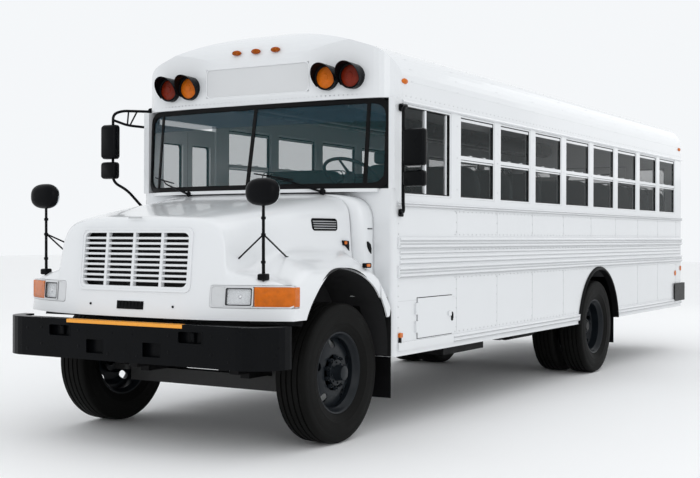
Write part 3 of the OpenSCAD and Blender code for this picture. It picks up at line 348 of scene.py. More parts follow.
def carve(obj, shape):
    """Cuts a closed shape out of a piece for good, so that no cutter stays in the scene."""
    mesh = bpy.data.meshes.new("cutter")
    mesh.from_pydata([place(v) for v in shape.verts], [], shape.faces)
    solid = bmesh.new()
    solid.from_mesh(mesh)
    bmesh.ops.holes_fill(solid, edges=solid.edges[:], sides=0)
    bmesh.ops.recalc_face_normals(solid, faces=solid.faces[:])
    solid.to_mesh(mesh)
    solid.free()
    cutter = bpy.data.objects.new("cutter", mesh)
    bpy.context.scene.collection.objects.link(cutter)
    cut = obj.modifiers.new("cut", "BOOLEAN")
    cut.operation, cut.solver, cut.object = "DIFFERENCE", "EXACT", cutter
    whole = bpy.data.meshes.new_from_object(obj.evaluated_get(bpy.context.evaluated_depsgraph_get()))
    obj.modifiers.clear()
    obj.data = whole
    bpy.data.objects.remove(cutter)
    whole.set_sharp_from_angle(angle=math.radians(32))
    return obj


# ---- wheels ----

TYRE_R = 497
TYRE_W = 252
RIM_R = 292
GROOVES = (-66, -22, 22, 66)


def tyre_profile():
    """Section of a ribbed highway tyre, from one bead over the tread to the other."""
    side = [(98, RIM_R + 0.5), (101, 302), (108, 316), (116, 332), (119, 347), (121, 349), (122, 353), (121.5, 358),
            (125, 385),
            (126, 408), (124.5, 430), (121.5, 447), (122.5, 451), (121, 456), (121, 470), (117, 481), (110, 488),
            (100, 492)]
    tread = []
    for g in GROOVES:
        crown = TYRE_R - abs(g) ** 2 / 1600
        tread += [(g - 6.5, crown), (g - 4, crown - 13), (g + 4, crown - 13), (g + 6.5, crown)]
    return [(-t, r) for t, r in side] + tread + side[::-1]


def tyre(x):
    return Shape().lathe(tyre_profile(), (x, 0, AXLE_Z), n=96)


def nuts(shape, x, y, out, ring, count, size, height):
    """A ring of hexagon nuts with a stud end in each; out is +1 when they point to +x."""
    for a in turns(count, 0.3):
        c = (x, y + ring * math.cos(a), AXLE_Z + ring * math.sin(a))
        shape.lathe([(0, size), (out * height * 0.75, size), (out * height, size * 0.8), (out * height, 0.1)], c, n=6)
        shape.lathe([(0, size * 0.45), (out * height * 1.5, size * 0.45), (out * height * 1.6, 0.1)], c, n=10)


def wheel_disc(x, y, out, face, dish_from):
    """A pressed wheel's flanges and well, and the closed dish out to its mounting face."""
    half = TYRE_W / 2 - 28
    shape = Shape()
    shape.lathe([(-half * out, RIM_R - 1), (-half * out, RIM_R - 12), (-(half - 14) * out, RIM_R - 22),
                 (-(half - 34) * out, RIM_R - 40),
                 ((half - 44) * out, RIM_R - 42), ((half - 26) * out, RIM_R - 24), ((half - 10) * out, RIM_R - 18),
                 ((half - 1) * out, RIM_R - 10), (half * out, RIM_R - 4), ((half - 2) * out, RIM_R - 1)],
                (x, y, AXLE_Z), n=72)
    dish = Shape()
    dish.lathe([(dish_from, RIM_R - 42), (dish_from + (face - dish_from) * 0.25, 232),
                (dish_from + (face - dish_from) * 0.72, 196),
                 (dish_from + (face - dish_from) * 0.95, 168), (face, 152), (face, 72), (face - 12 * out, 72),
                (face - 12 * out, 150),
                 (dish_from + (face - dish_from) * 0.68, 186), (dish_from - 10 * out, 226),
                (dish_from - 12 * out, RIM_R - 42)],
                (x, y, AXLE_Z), n=72, loop=True)
    return shape, dish


def hand_holes(x, y, radius, size, length=240):
    shape = Shape()
    for a in turns(5, 0.35):
        shape.lathe([(-length / 2, 0.1), (-length / 2, size), (length / 2, size), (length / 2, 0.1)],
                    (x, y + radius * math.cos(a), AXLE_Z + radius * math.sin(a)), n=24)
    return shape


FRONT_WHEEL_X, REAR_WHEEL_X = 1003, 1072  # middle of a front tyre, and of an outer rear tyre
TWIN = 318  # between the middles of a pair of rear tyres
HOLE_RING, HOLE_R = 203, 33
NUT_RING, NUTS = 112, 10


def wheels():
    for side, s in (("left", 1), ("right", -1)):
        x = s * FRONT_WHEEL_X
        low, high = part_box(f"front_{side}_rim")
        face = s * (max(abs(low.x), abs(high.x)) * 1000 - FRONT_WHEEL_X)
        piece(f"front_{side}_tyre_tread", tyre(x), f"front_{side}_wheel", TYRE, [f"front_{side}_tyre"])
        plate = s * 52
        rim, dish = wheel_disc(x, 0, s, plate, s * 20)
        piece(f"front_{side}_rim_well", rim, f"front_{side}_wheel", RIM, [f"front_{side}_rim"])
        disc = piece(f"front_{side}_wheel_disc", dish, f"front_{side}_wheel", RIM, weld=True)
        carve(disc, hand_holes(x, 0, HOLE_RING, HOLE_R))
        hub = Shape().lathe([(plate - s * 60, 130), (plate, 128), (plate, 96), (plate + s * 26, 92),
                             (plate + s * 30, 60), (plate + s * 44, 56),
                             (face - s * 6, 50), (face - s * 1.0, 36), (face - s * 0.5, 0.1)], (x, 0, AXLE_Z), n=40)
        nuts(hub, x + plate, 0, s, NUT_RING, NUTS, 17, 24)
        for a in turns(8, 0.1):
            hub.lathe([(0, 8), (s * 6, 8), (s * 8, 0.1)],
                      (x + plate + s * 29, 74 * math.cos(a), AXLE_Z + 74 * math.sin(a)), n=6)
        piece(f"front_{side}_hub", hub, f"front_{side}_wheel", RIM)
        xo, xi = s * REAR_WHEEL_X, s * (REAR_WHEEL_X - TWIN)
        pair, inner_tyre = tyre(xo), tyre(xi)
        pair.add(inner_tyre.verts, inner_tyre.faces)
        piece(f"rear_{side}_tyre_treads", pair.moved((0, WHEELBASE, 0)), f"rear_{side}_wheels", TYRE,
              [f"rear_{side}_tyres"])
        rims, dish = wheel_disc(xo, WHEELBASE, s, -s * (TWIN / 2 - 8), -s * 20)
        inner_rim, inner_dish = wheel_disc(xi, WHEELBASE, -s, s * (TWIN / 2 - 8), s * 20)
        rims.add(inner_rim.verts, inner_rim.faces)
        piece(f"rear_{side}_rim_wells", rims, f"rear_{side}_wheels", RIM, [f"rear_{side}_rims"])
        for name, part in (("outer", dish), ("inner", inner_dish)):
            disc = piece(f"rear_{side}_{name}_wheel_disc", part, f"rear_{side}_wheels", RIM, weld=True)
            carve(disc, hand_holes(s * (REAR_WHEEL_X - TWIN / 2), WHEELBASE, HOLE_RING, HOLE_R, 300))
        mid = -s * (TWIN / 2 - 8)
        hub = Shape().lathe([(mid - s * 60, 128), (mid + s * 6, 128), (mid + s * 6, 92), (mid + s * 60, 84),
                             (mid + s * 150, 80),
                             (mid + s * 158, 72), (mid + s * 160, 0.1)], (xo, WHEELBASE, AXLE_Z), n=40)
        nuts(hub, xo + mid + s * 6, WHEELBASE, s, NUT_RING, NUTS, 17, 24)
        for a in turns(8, 0.1):
            hub.lathe([(0, 8), (s * 7, 8), (s * 8, 0.1)],
                      (xo + mid + s * 158, WHEELBASE + 58 * math.cos(a), AXLE_Z + 58 * math.sin(a)), n=6)
        piece(f"rear_{side}_hub", hub, f"rear_{side}_wheels", RIM)


wheels()

# ---- hood ----

HOOD_TOP = (1585, 1790)  # height of the middle, at the nose and at the rear
HOOD_HALF = (735, 926)  # half width of the middle, at the nose and at the rear
FENDER_INNER_X = 1056
LIP_R = ARCH[2] + 92
GRILLE = (490, 1093, 411)  # half width, bottom, height
LAMP = (648, 986, 1138, -640)  # inner x, bottom, top, rear end


def nose_y(x, z=NOSE_Z):
    """The nose: bowed in plan, and leaning back as it rises."""
    return -960 + 253 * (abs(x) / FENDER_X) ** 3 + 0.092 * (z - NOSE_Z)


def lip_top(y):
    """Height of the fender, which follows the wheel arch behind the wheel and falls to the lamps in front."""
    over = ARCH[1] + math.sqrt(max(0, LIP_R**2 - max(0, y - ARCH[0]) ** 2))
    t = min(1, max(0, (y + 760) / 420))
    return over, 0.70 + 0.30 * t * t * (3 - 2 * t)


def hood_section(y):
    """Half of the hood's cross section at y, from the middle of the top to the fender's lower edge."""
    s = (y + 960) / (HOOD_REAR_Y + 960)
    w = HOOD_HALF[0] + (HOOD_HALF[1] - HOOD_HALF[0]) * s
    top = HOOD_TOP[0] + (HOOD_TOP[1] - HOOD_TOP[0]) * s
    limit, rise = lip_top(y)
    fender = [(w + 14, 1390), (w + 50, 1345), ((w + 50 + 1093) / 2, 1315), (1093, 1262), (1140, 1222), (1172, 1170),
              (FENDER_X, 1096)]
    fender = [(x, NOSE_Z + (z - NOSE_Z) * rise) for x, z in fender]
    fender = [(x, min(z, limit + (FENDER_X - x) * (0.5 if z > limit else 0))) for x, z in fender]
    out = [(0, top), (w * 0.35, top - 1), (w * 0.62, top - 6), (w - 150, top - 20), (w - 70, top - 52),
           (w - 22, top - 108),
           (w, top - 180)] + fender
    edge = out[-1][1]
    return out + [(FENDER_X, NOSE_Z + (edge - NOSE_Z) * f) for f in (0.75, 0.5, 0.25, 0)]


def hood_points(y, drop=0):
    back = max(0, 1 - (y + 960) / 700) ** 2
    rows = []
    for x, z in hood_section(y):
        lean = 0.092 * (z - NOSE_Z) * back
        rows.append((x, y + 253 * (x / FENDER_X) ** 3 * back + lean, z - drop * (z > NOSE_Z + 1)))
    return rows


def hood():
    stations = [-960, -938, -890, -810, -700, -560, -420, -280, -140, 0, 120, 220, 310, 380, HOOD_REAR_Y]
    rows = [hood_points(y, {-960: 34, -938: 9}.get(y, 0)) for y in stations]
    side = 4
    columns = len(rows[0]) - side
    shape = Shape()
    shape.grid(rows)
    # Nose face, from the first row down to the lower edge; its outer column is the first row's side
    face = []
    for k in range(side + 1):
        line = []
        for j in range(columns):
            x, y, z = rows[0][j]
            low = NOSE_Z + (z - NOSE_Z) * (1 - k / side)
            line.append((x, nose_y(x, low) if k else y, low))
        line[-1] = rows[0][columns - 1 + k]
        face.append(line)
    shape.grid(face[::-1])
    # Outer part of the fender goes on behind the hood's seam, along the arch
    tail = []
    for y in (HOOD_REAR_Y + 2, 475, 520, 562):
        limit = lip_top(y)[0]
        tail.append([(FENDER_INNER_X, y, limit + 20), (1110, y, limit + 12), (1160, y, limit - 6),
                     (FENDER_X, y, limit - 50),
                     (FENDER_X, y, (limit + NOSE_Z) / 2), (FENDER_X, y, NOSE_Z - 40)])
    shape.grid(tail)
    shape.mirrored()
    hood_shell = piece("hood_shell", shape, "hood", WHITE, ["hood"], weld=True)
    thick_skin(hood_shell, 2, 0.012)
    cutter = Shape()
    cutter.lathe([(720, 0.1), (720, ARCH[2]), (1400, ARCH[2]), (1400, 0.1)], (0, ARCH[0], ARCH[1]), n=96)
    cutter.lathe([(-1400, 0.1), (-1400, ARCH[2]), (-720, ARCH[2]), (-720, 0.1)], (0, ARCH[0], ARCH[1]), n=96)
    cutter.prism(rounded((LAMP[0], LAMP[1]), (1400, LAMP[2]), 22), "y", -1300, LAMP[3])
    cutter.prism([(-x, z) for x, z in rounded((LAMP[0], LAMP[1]), (1400, LAMP[2]), 22)], "y", -1300, LAMP[3])
    cutter.prism(rounded((-GRILLE[0], GRILLE[1]), (GRILLE[0], GRILLE[1] + GRILLE[2]), 45), "y", -1200, -780)
    carve(hood_shell, cutter)


hood()

def dense(outline, step=60):
    """The same closed outline with a point at least every step millimetres."""
    out = []
    for i, p in enumerate(outline):
        q = outline[(i + 1) % len(outline)]
        n = max(1, int(math.dist(p, q) / step))
        out += [(p[0] + (q[0] - p[0]) * k / n, p[1] + (q[1] - p[1]) * k / n) for k in range(n)]
    return out


def ring(shape, outer, inner, front, depth):
    """A frame between two outlines (x, z) of as many points; front(x, z) gives the y of its face."""
    rows = []
    for outline, dy in ((outer, depth), (outer, 0), (inner, 0), (inner, depth)):
        rows.append([(x, front(x, z) + dy, z) for x, z in outline])
    return shape.grid(rows, close_u=True, close_v=True)


def bowed(shape, x0, x1, z0, z1, front, depth, n=16, soft=0):
    """A plate between two x and two z values whose face follows front(x, z)."""
    rows = []
    for i in range(n + 1):
        x = x0 + (x1 - x0) * i / n
        rows.append([(x, front(x, z0) + soft, z0), (x, front(x, z0 + soft), z0 + soft),
                     (x, front(x, z1 - soft), z1 - soft),
                     (x, front(x, z1) + soft, z1), (x, front(x, z1) + depth, z1), (x, front(x, z0) + depth, z0)])
    return shape.grid(rows, close_u=True, caps=True)


def smooth_path(points, r, n=6):
    """A path of straight runs whose corners are rounded."""
    points = [Vector(p) for p in points]
    out = [points[0]]
    for a, b, c in zip(points, points[1:], points[2:]):
        cut = min(r, (a - b).length / 2, (c - b).length / 2)
        p, q = b + (a - b).normalized() * cut, b + (c - b).normalized() * cut
        out += [p.lerp(b, t).lerp(b.lerp(q, t), t) for t in (k / n for k in range(n + 1))]
    return out + [points[-1]]


# ---- grille and headlamps ----


def grille():
    half, z0, h = GRILLE[0] - 3, GRILLE[1] + 3, GRILLE[2] - 6
    shape = Shape()
    face = lambda x, z: nose_y(x, z) - 2
    outer = dense(rounded((-half, z0), (half, z0 + h), 42))
    inner = [(x * (half - 20) / half, z0 + h / 2 + (z - z0 - h / 2) * (h - 40) / h) for x, z in outer]
    ring(shape, outer, inner, face, 40)
    lip = [(x * (half + 14) / half, z0 + h / 2 + (z - z0 - h / 2) * (h + 28) / h) for x, z in outer]
    ring(shape, lip, outer, lambda x, z: nose_y(x, z) - 7, 12)
    rows_n = 10
    pitch = (h - 40) / rows_n
    for i in range(1, rows_n):
        z = z0 + 20 + i * pitch
        bowed(shape, -half + 12, half - 12, z - 8, z + 8, lambda x, zz: nose_y(x, zz) + 4, 34, soft=4)
    for x in (-248, 0, 248):
        bowed(shape, x - 11, x + 11, z0 + 12, z0 + h - 12, lambda xx, zz: nose_y(xx, zz) + 1, 34, n=2, soft=3)
    piece("grille_bars", shape, "hood", WHITE, ["grille"])
    # A dark sheet behind the bars: the radiator's black, with painted shade of the space behind the grille
    radiator_shade = Shape()
    radiator_shade.grid([[(x, nose_y(x, z) + 95, z) for x in range(-520, 521, 80)] for z in (z0 - 20, z0 + h / 2, z0 + h + 20)])
    piece("radiator_and_grille_shade", radiator_shade, "hood", BLACK_LINER_AND_VOID_SHADE)
    plate = Shape()
    bowed(plate, -118, 118, 958, 1014, lambda x, z: nose_y(x, z) - 3, 8)
    for k in range(7):
        plate.box((-104 + k * 31, nose_y(0, 980) - 5, 966), (-84 + k * 31, nose_y(0, 980) + 1, 1006))
    for x in (-370, 370):
        plate.lathe([(0, 9), (-4, 8), (-5, 0.1)], (x, nose_y(x, 985), 985), axis="y", n=12)
    piece("lower_air_slots", plate, "hood", BLACK)


grille()


def headlamps():
    x0, z0, z1, end = LAMP
    clear_x = 847  # middle of the clear lamp
    panel, clear, amber, inner, edge = Shape(), Shape(), Shape(), Shape(), Shape()
    outer = dense(rounded((x0 + 2, z0 + 2), (FENDER_X - 4, z1 - 2), 20), 40)
    mid_x, mid_z = (x0 + FENDER_X) / 2, (z0 + z1) / 2
    inset = shrunk(outer, mid_x, mid_z, 0.963, 0.87)
    ring(panel, outer, inset, lambda x, z: nose_y(x, z) - 2, 30)
    bowed(panel, x0 + 8, 750, z0 + 9, z1 - 9, lambda x, z: nose_y(x, z) + 3, 30)
    box_outer = dense(rounded((752, z0 + 10), (942, z1 - 10), 12), 40)
    box_inner = shrunk(box_outer, clear_x, mid_z, 0.9, 0.86)
    ring(panel, box_outer, box_inner, lambda x, z: nose_y(x, z) - 3, 34)
    gap_outer = shrunk(box_outer, clear_x, mid_z, 0.905, 0.87)
    gap_inner = shrunk(box_outer, clear_x, mid_z, 0.855, 0.79)
    ring(edge, gap_outer, gap_inner, lambda x, z: nose_y(x, z) - 4, 30)
    piece("headlamp_gaskets", edge.mirrored(), "hood", PLASTIC)
    bowed(clear, 758, 936, z0 + 16, z1 - 16, lambda x, z: nose_y(x, z) + 4, 6, soft=3)
    bowed(inner, 758, 936, z0 + 16, z1 - 16, lambda x, z: nose_y(x, z) + 26, 4)
    inner.ball((clear_x, nose_y(clear_x, mid_z) + 20, mid_z), (16, 12, 16), 12)
    # Amber lamp: along the nose, round the corner, and back along the fender
    path = [(x, nose_y(x, mid_z)) for x in (950, 1000, 1050, 1100, 1145)]
    path += [(1172, nose_y(1172, mid_z) - 6), (1188, nose_y(1180, mid_z) + 4), (1189, end - 4)]
    rows = []
    for i, (x, y) in enumerate(path):
        inx = 14 if i >= 6 else 0
        iny = 0 if i >= 7 else 24
        rows.append([(x, y, z0 + 12), (x + (2 if i > 5 else 0), y - (3 if i < 7 else 0), z0 + 20),
                     (x + (2 if i > 5 else 0), y - (3 if i < 7 else 0), z1 - 20),
                     (x, y, z1 - 12), (x - inx, y + iny, z1 - 12), (x - inx, y + iny, z0 + 12)])
    amber.grid(rows, close_u=True, caps=True)
    piece("headlamp_bezels", panel.mirrored(), "hood", SILVER, ["headlamps"], bevel=0.002)
    piece("headlamp_lenses", clear.mirrored(), "hood", CLEAR)
    piece("headlamp_reflectors", inner.mirrored(), "hood", CHROME)
    piece("turn_lamps", amber.mirrored(), "hood", AMBER)


headlamps()

# ---- windshield ----

WS_HALF, WS_LOW, WS_HIGH = 1166, 1822, 2505
WS_MID, WS_RISE = (WS_LOW + WS_HIGH) / 2, 341  # middle, and the seal's half height


def screen_y(x, z, dy=0):
    """The windshield's face: bowed in plan and leaning back, with corners that wrap round."""
    x = abs(x)
    low = 400 + 120 * (x / 1000) ** 2 if x <= 1000 else 520 + (x - 1000) / 166 * 90
    high = 529 + 61 * (x / 1000) ** 2 if x <= 1000 else 590 + (x - 1000) / 166 * 45
    return low + (high - low) * (z - WS_LOW) / (WS_HIGH - WS_LOW) + dy


def windshield():
    seal = Shape()
    outer = dense(rounded((-WS_HALF, WS_LOW), (WS_HALF, WS_HIGH - 1), 95), 50)
    for inset, dy, depth in ((0, -4, 14), (8, -9, 12)):
        a = [(x * (WS_HALF - inset) / WS_HALF, WS_MID + (z - WS_MID) * (WS_RISE - inset) / WS_RISE) for x, z in outer]
        b = [(x * (WS_HALF - 40 + inset) / WS_HALF, WS_MID + (z - WS_MID) * (WS_RISE - 40 + inset) / WS_RISE) for x,
             z in outer]
        ring(seal, a, b, lambda x, z: screen_y(x, z, dy), depth)
    for x in (-1000, 0, 1000):
        width = 13 if x else 15
        bowed(seal, x - width, x + width, WS_LOW + 20, WS_HIGH - 20, lambda xx, zz: screen_y(xx, zz, -7), 12, n=2,
              soft=4)
    piece("windshield_gasket", seal, "bus", RUBBER, ["windshield_seal"])
    glass, band = Shape(), Shape()
    xs = [-1132 + 2264 * i / 40 for i in range(41)]
    split = WS_HIGH - 175
    for shape, z0, z1 in ((glass, WS_LOW + 34, split), (band, split, WS_HIGH - 36)):
        shape.grid([[(x, screen_y(x, z), z) for x in xs] for z in (z0, (z0 + z1) / 2, z1)])
        shape.grid([[(x, screen_y(x, z, 6), z) for x in reversed(xs)] for z in (z0, (z0 + z1) / 2, z1)])
    piece("windshield_panes", glass, "bus", SCREEN, ["windshield"])
    piece("windshield_shade_band", band, "bus", SUNBAND)
    wipers = Shape()
    for pivot, tip in ((-640, -1060), (640, 60)):
        base = (pivot + 40, screen_y(pivot, WS_LOW) - 40, WS_LOW - 22)
        elbow = (pivot + (tip - pivot) * 0.45, screen_y(pivot, WS_LOW + 60) - 42, WS_LOW + 62)
        end = (tip + (pivot - tip) * 0.2, screen_y(tip, WS_LOW + 115) - 24, WS_LOW + 112)
        wipers.tube([base, elbow, end], (9, 6, 4), 8)
        wipers.lathe([(0, 24), (-26, 22), (-34, 14), (-36, 0.1)], (base[0], base[1] + 34, base[2]), axis="y", n=16)
        a = Vector((tip, screen_y(tip, WS_LOW + 128) - 12, WS_LOW + 128))
        b = Vector((pivot + (tip - pivot) * 0.38, 0, WS_LOW + 72))
        for k in range(8):
            p, q = a.lerp(b, k / 8), a.lerp(b, (k + 1) / 8)
            p.y, q.y = screen_y(p.x, p.z) - 12, screen_y(q.x, q.z) - 12
            wipers.tube([p, q], 6, 6)
    piece("wipers", wipers, "bus", BLACK)


windshield()

# ---- warning lamps ----


def visor(shape, centre, radii, out, depth):
    """A lamp's hood, deepest over the lamp. out is the way it points along y, depth how far it grows at the top."""
    x, y, z = centre
    rows = []
    for k in range(25):
        a = math.radians(-42 + 264 * k / 24)
        reach = 26 + depth * max(0, 0.35 + 0.65 * math.sin(a))
        line = zip(radii, (8, reach, reach, 8))
        rows.append([(x + r * math.cos(a), y + out * t, z + r * math.sin(a)) for r, t in line])
    shape.grid(rows, close_u=True, caps=True)


def warning_lamps():
    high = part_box("warning_lamps")[1]
    back = high.y * 1000 + FRONT_AXLE_Y
    black, red, amber = Shape(), Shape(), Shape()
    for x, lens in ((880, red), (664, amber)):
        y = 505 if x < 800 else 512
        z = 2672
        black.lathe([(back - y, 96), (-14, 96), (-18, 92), (-14, 84), (0, 82)], (x, y, z), axis="y", n=36)
        lens.lathe([(-4, 84), (-10, 70), (-17, 45), (-20, 20), (-20.5, 0.1)], (x, y, z), axis="y", n=36)
        lens.lathe([(-18, 30), (-23, 26), (-24, 0.1)], (x, y, z), axis="y", n=24)
        visor(black, (x, y, z), (98, 101, 97, 94), -1, 96)
    piece("warning_lamp_hoods", black.mirrored(), "bus", BLACK, ["warning_lamps"])
    piece("warning_lamp_red_lenses", red.mirrored(), "bus", RED)
    piece("warning_lamp_amber_lenses", amber.mirrored(), "bus", AMBER)


warning_lamps()

# ---- mirrors ----


def soft_box(shape, low, high, r):
    """A box with generously rounded corners across its width and height."""
    outline = rounded((low[0], low[2]), (high[0], high[2]), r)
    cx, cz = (low[0] + high[0]) / 2, (low[2] + high[2]) / 2
    rows = []
    for y, shrink in ((low[1], 0.82), (low[1] + 8, 0.94), (low[1] + 26, 1), (high[1] - 6, 1), (high[1], 0.97)):
        rows.append([(x, y, z) for x, z in shrunk(outline, cx, cz, shrink, shrink)])
    return shape.grid(rows, close_u=True, caps=True)


def mirrors():
    left, glass = Shape(), Shape()
    x, y = HALF_W + 78, 575
    left.tube(smooth_path([(HALF_W + 18, 662, 2440), (x, 640, 2436), (x, y, 2420), (x, y, 1712), (x - 8, 600, 1650),
                           (HALF_W + 18, 664, 1640)], 55), 13, 12)
    for z in (1640, 2430):
        soft_box(left, (HALF_W + 2, 640, z - 30), (HALF_W + 22, 690, z + 30), 8)
    for z0, z1, depth in ((1985, 2259, 30), (1832, 1950, 26)):
        soft_box(left, (x + 6, y - 32, z0), (x + 186, y + depth, z1), 24)
        glass.prism(rounded((x + 14, z0 + 8), (x + 178, z1 - 8), 18), "y", y + depth - 1, y + depth + 1.5)
        left.tube([(x, y, (z0 + z1) / 2 - 30), (x + 40, y, (z0 + z1) / 2 - 30)], 9, 8)
        left.tube([(x, y, (z0 + z1) / 2 + 30), (x + 40, y, (z0 + z1) / 2 + 30)], 9, 8)
    piece("left_mirror_arm_and_heads", left, "bus", BLACK, ["left_mirror"], bevel=0.002)
    piece("left_mirror_glass", glass, "bus", MIRROR)
    right, glass = Shape(), Shape()
    x, y = -1400, 400
    right.tube(smooth_path([(-HALF_W - 22, 690, 2530), (-1360, 470, 2522), (x, y, 2490), (x, y, 1915),
                            (-1330, 500, 1850), (-HALF_W - 20, 680, 1640)], 60), 12, 12)
    right.tube(smooth_path([(-HALF_W - 22, 690, 2390), (-1330, 500, 2400), (x, y, 2440)], 50), 11, 10)
    right.tube([(-1330, 515, 2523), (-1330, 500, 2400)], 7, 8)
    right.tube([(-1290, 580, 2526), (-1318, 520, 2402)], 7, 8)
    soft_box(right, (-HALF_W - 24, 660, 2350), (-HALF_W - 2, 720, 2560), 8)
    soft_box(right, (-HALF_W - 20, 655, 1610), (-HALF_W - 2, 705, 1670), 8)
    for z0, z1, depth in ((2110, 2400, 30), (1942, 2085, 26)):
        soft_box(right, (x - 110, y - 40, z0), (x + 50, y + depth, z1), 26)
        glass.prism(rounded((x - 102, z0 + 8), (x + 42, z1 - 8), 18), "y", y + depth - 1, y + depth + 1.5)
    piece("right_mirror_arm_and_heads", right, "bus", BLACK, ["right_mirror"], bevel=0.002)
    piece("right_mirror_glass", glass, "bus", MIRROR)
    posts, backs, faces = Shape(), Shape(), Shape()
    posts.tube([(985, -765, 1135), (985, -768, 1300), (985, -770, 1700)], (12, 11, 10), 10)
    for z in (1290, 1470, 1580):
        posts.lathe([(-9, 16), (9, 16)], (985, -769, z), axis="z", n=12)
    for foot in ((745, -740, 1296), (905, -380, 1318)):
        posts.tube([(985, -768, 1472), foot], 6, 8)
        posts.lathe([(-3, 16), (4, 14), (6, 8)], foot, axis="z", n=12)
    soft_box(posts, (955, -800, 1170), (1015, -740, 1215), 10)
    for shape, sign in ((backs, -1), (faces, 1)):
        rows = []
        for k in range(9):
            b = math.pi / 2 * k / 8
            rim = (math.cos(b)) ** 0.55
            depth = 62 if sign < 0 else 44
            rows.append([(985 + 130 * rim * math.copysign(abs(math.cos(a)) ** 0.8, math.cos(a)),
                          -775 + sign * depth * math.sin(b),
                          1751 + 92 * rim * math.copysign(abs(math.sin(a)) ** 0.8, math.sin(a))) for a in turns(40)])
        shape.grid(rows, close_u=True)
    piece("crossview_mirror_posts", posts.mirrored(), "hood", BLACK, ["crossview_mirrors"])
    piece("crossview_mirror_shells", backs.mirrored(), "hood", BLACK)
    piece("crossview_mirror_faces", faces.mirrored(), "hood", MIRROR)


mirrors()

# ---- small trim of the hood and cowl ----


def hood_side_x(y, z):
    """How far out the hood's surface is at y and z, on its upper side."""
    section = hood_section(y)
    for (x0, z0), (x1, z1) in zip(section, section[1:]):
        if z1 <= z <= z0:
            return x0 + (x1 - x0) * (z0 - z) / max(1, z0 - z1)
    return FENDER_X


def hood_trim():
    black, amber, slats = Shape(), Shape(), Shape()
    # Side louvre: a rounded frame, a black sheet behind the slats as painted shade, and slats that catch the light
    y0, y1, z0, z1 = 0, 275, 1502, 1592
    outer = dense(rounded((y0, z0), (y1, z1), 26), 40)
    mid_y, mid_z = (y0 + y1) / 2, (z0 + z1) / 2
    rows = []
    for inset, out in ((0, -4), (0, 4), (10, 6), (12, -4)):
        rows.append([(hood_side_x(min(y, HOOD_REAR_Y), z) + out,
                      mid_y + (y - mid_y) * (mid_y - y0 - inset) / (mid_y - y0),
                      mid_z + (z - mid_z) * (mid_z - z0 - inset) / (mid_z - z0)) for y, z in outer])
    black.grid(rows, close_u=True, close_v=True)
    for k in range(4):
        z = z0 + 16 + k * 17
        rows = []
        for i in range(6):
            y = y0 + 14 + (y1 - y0 - 28) * i / 5
            x = hood_side_x(y, z)
            rows.append([(x + 6, y, z - 2), (x + 6, y, z + 1), (x - 2, y, z + 6), (x - 4, y, z + 4), (x - 4, y, z - 2)])
        slats.grid(rows, close_u=True, caps=True)
    piece("hood_louvre_slats", slats.mirrored(), "hood", SILVER)
    # Black sheet on the hood behind the slats: painted shade of the louvre's openings
    back = [[(hood_side_x(y, z) + 1.2, y, z) for y in range(8, 270, 52)] for z in (z0 + 8, z1 - 8)]
    black.grid(back)
    # Rear corner: lamp in a black base on the hood, latch on the cowl, lamp on the fender
    hx = hood_side_x(380, 1400)
    black.prism([(318, 1432), (392, 1428), (398, 1396), (398, 1352), (350, 1392), (320, 1396)], "x", hx - 30, hx + 13)
    amber.prism(rounded((326, 1402), (362, 1426), 6), "x", hx, hx + 17)
    black.prism(rounded((268, 1232), (352, 1268), 12), "x", 1128, 1158)
    amber.prism(rounded((280, 1240), (330, 1262), 8), "x", 1130, 1163)
    piece("hood_side_trim", black.mirrored(), "hood", BLACK, bevel=0.002)
    piece("hood_side_lamps", amber.mirrored(), "hood", AMBER, bevel=0.002)
    cowl = Shape()
    cowl.prism([(492, 1425), (528, 1405), (542, 1372), (540, 1330), (512, 1352), (494, 1388)], "x", 1020, 1050)
    # A black strip for the fairing's slot: painted shade in it
    cowl.box((1010, 500, 1515), (1047, 560, 1523))
    piece("cowl_latches_and_slot_shade", cowl.mirrored(), "bus", BLACK, bevel=0.002)
    # Painted shade of the hood grip's slot near the nose: a darker plate that stands up to the hood's top
    grip_slot_shade = Shape()
    y = -905
    grip_slot_shade.prism(rounded((-62, y), (62, y + 8), 4), "z", hood_section(y)[0][1] - 14, hood_section(y)[0][1] - 1)
    piece("hood_grip_slot_shade", grip_slot_shade, "hood", WHITE_IN_PAINTED_SHADE)


hood_trim()

# ---- sides: rails, seams, rivets, window channels ----

RAIL_A, RAIL_B, RAIL_H, RAIL_T = 1372, 1152, 88, 14
BELT_Z, BASE_Z = 1690, 603
ENTRY_Y, ENTRY_W = 735, 790
DOOR_REAR_Y = ENTRY_Y + ENTRY_W


def ridge(shape, y0, y1, z, h, out, x=HALF_W):
    """A rolled ridge along the side, h tall and out proud."""
    profile = [(x - 1, z), (x + out * 0.75, z + h * 0.1), (x + out, z + h * 0.3), (x + out, z + h * 0.7),
               (x + out * 0.75, z + h * 0.9), (x - 1, z + h)]
    return shape.prism(profile, "y", y0, y1)


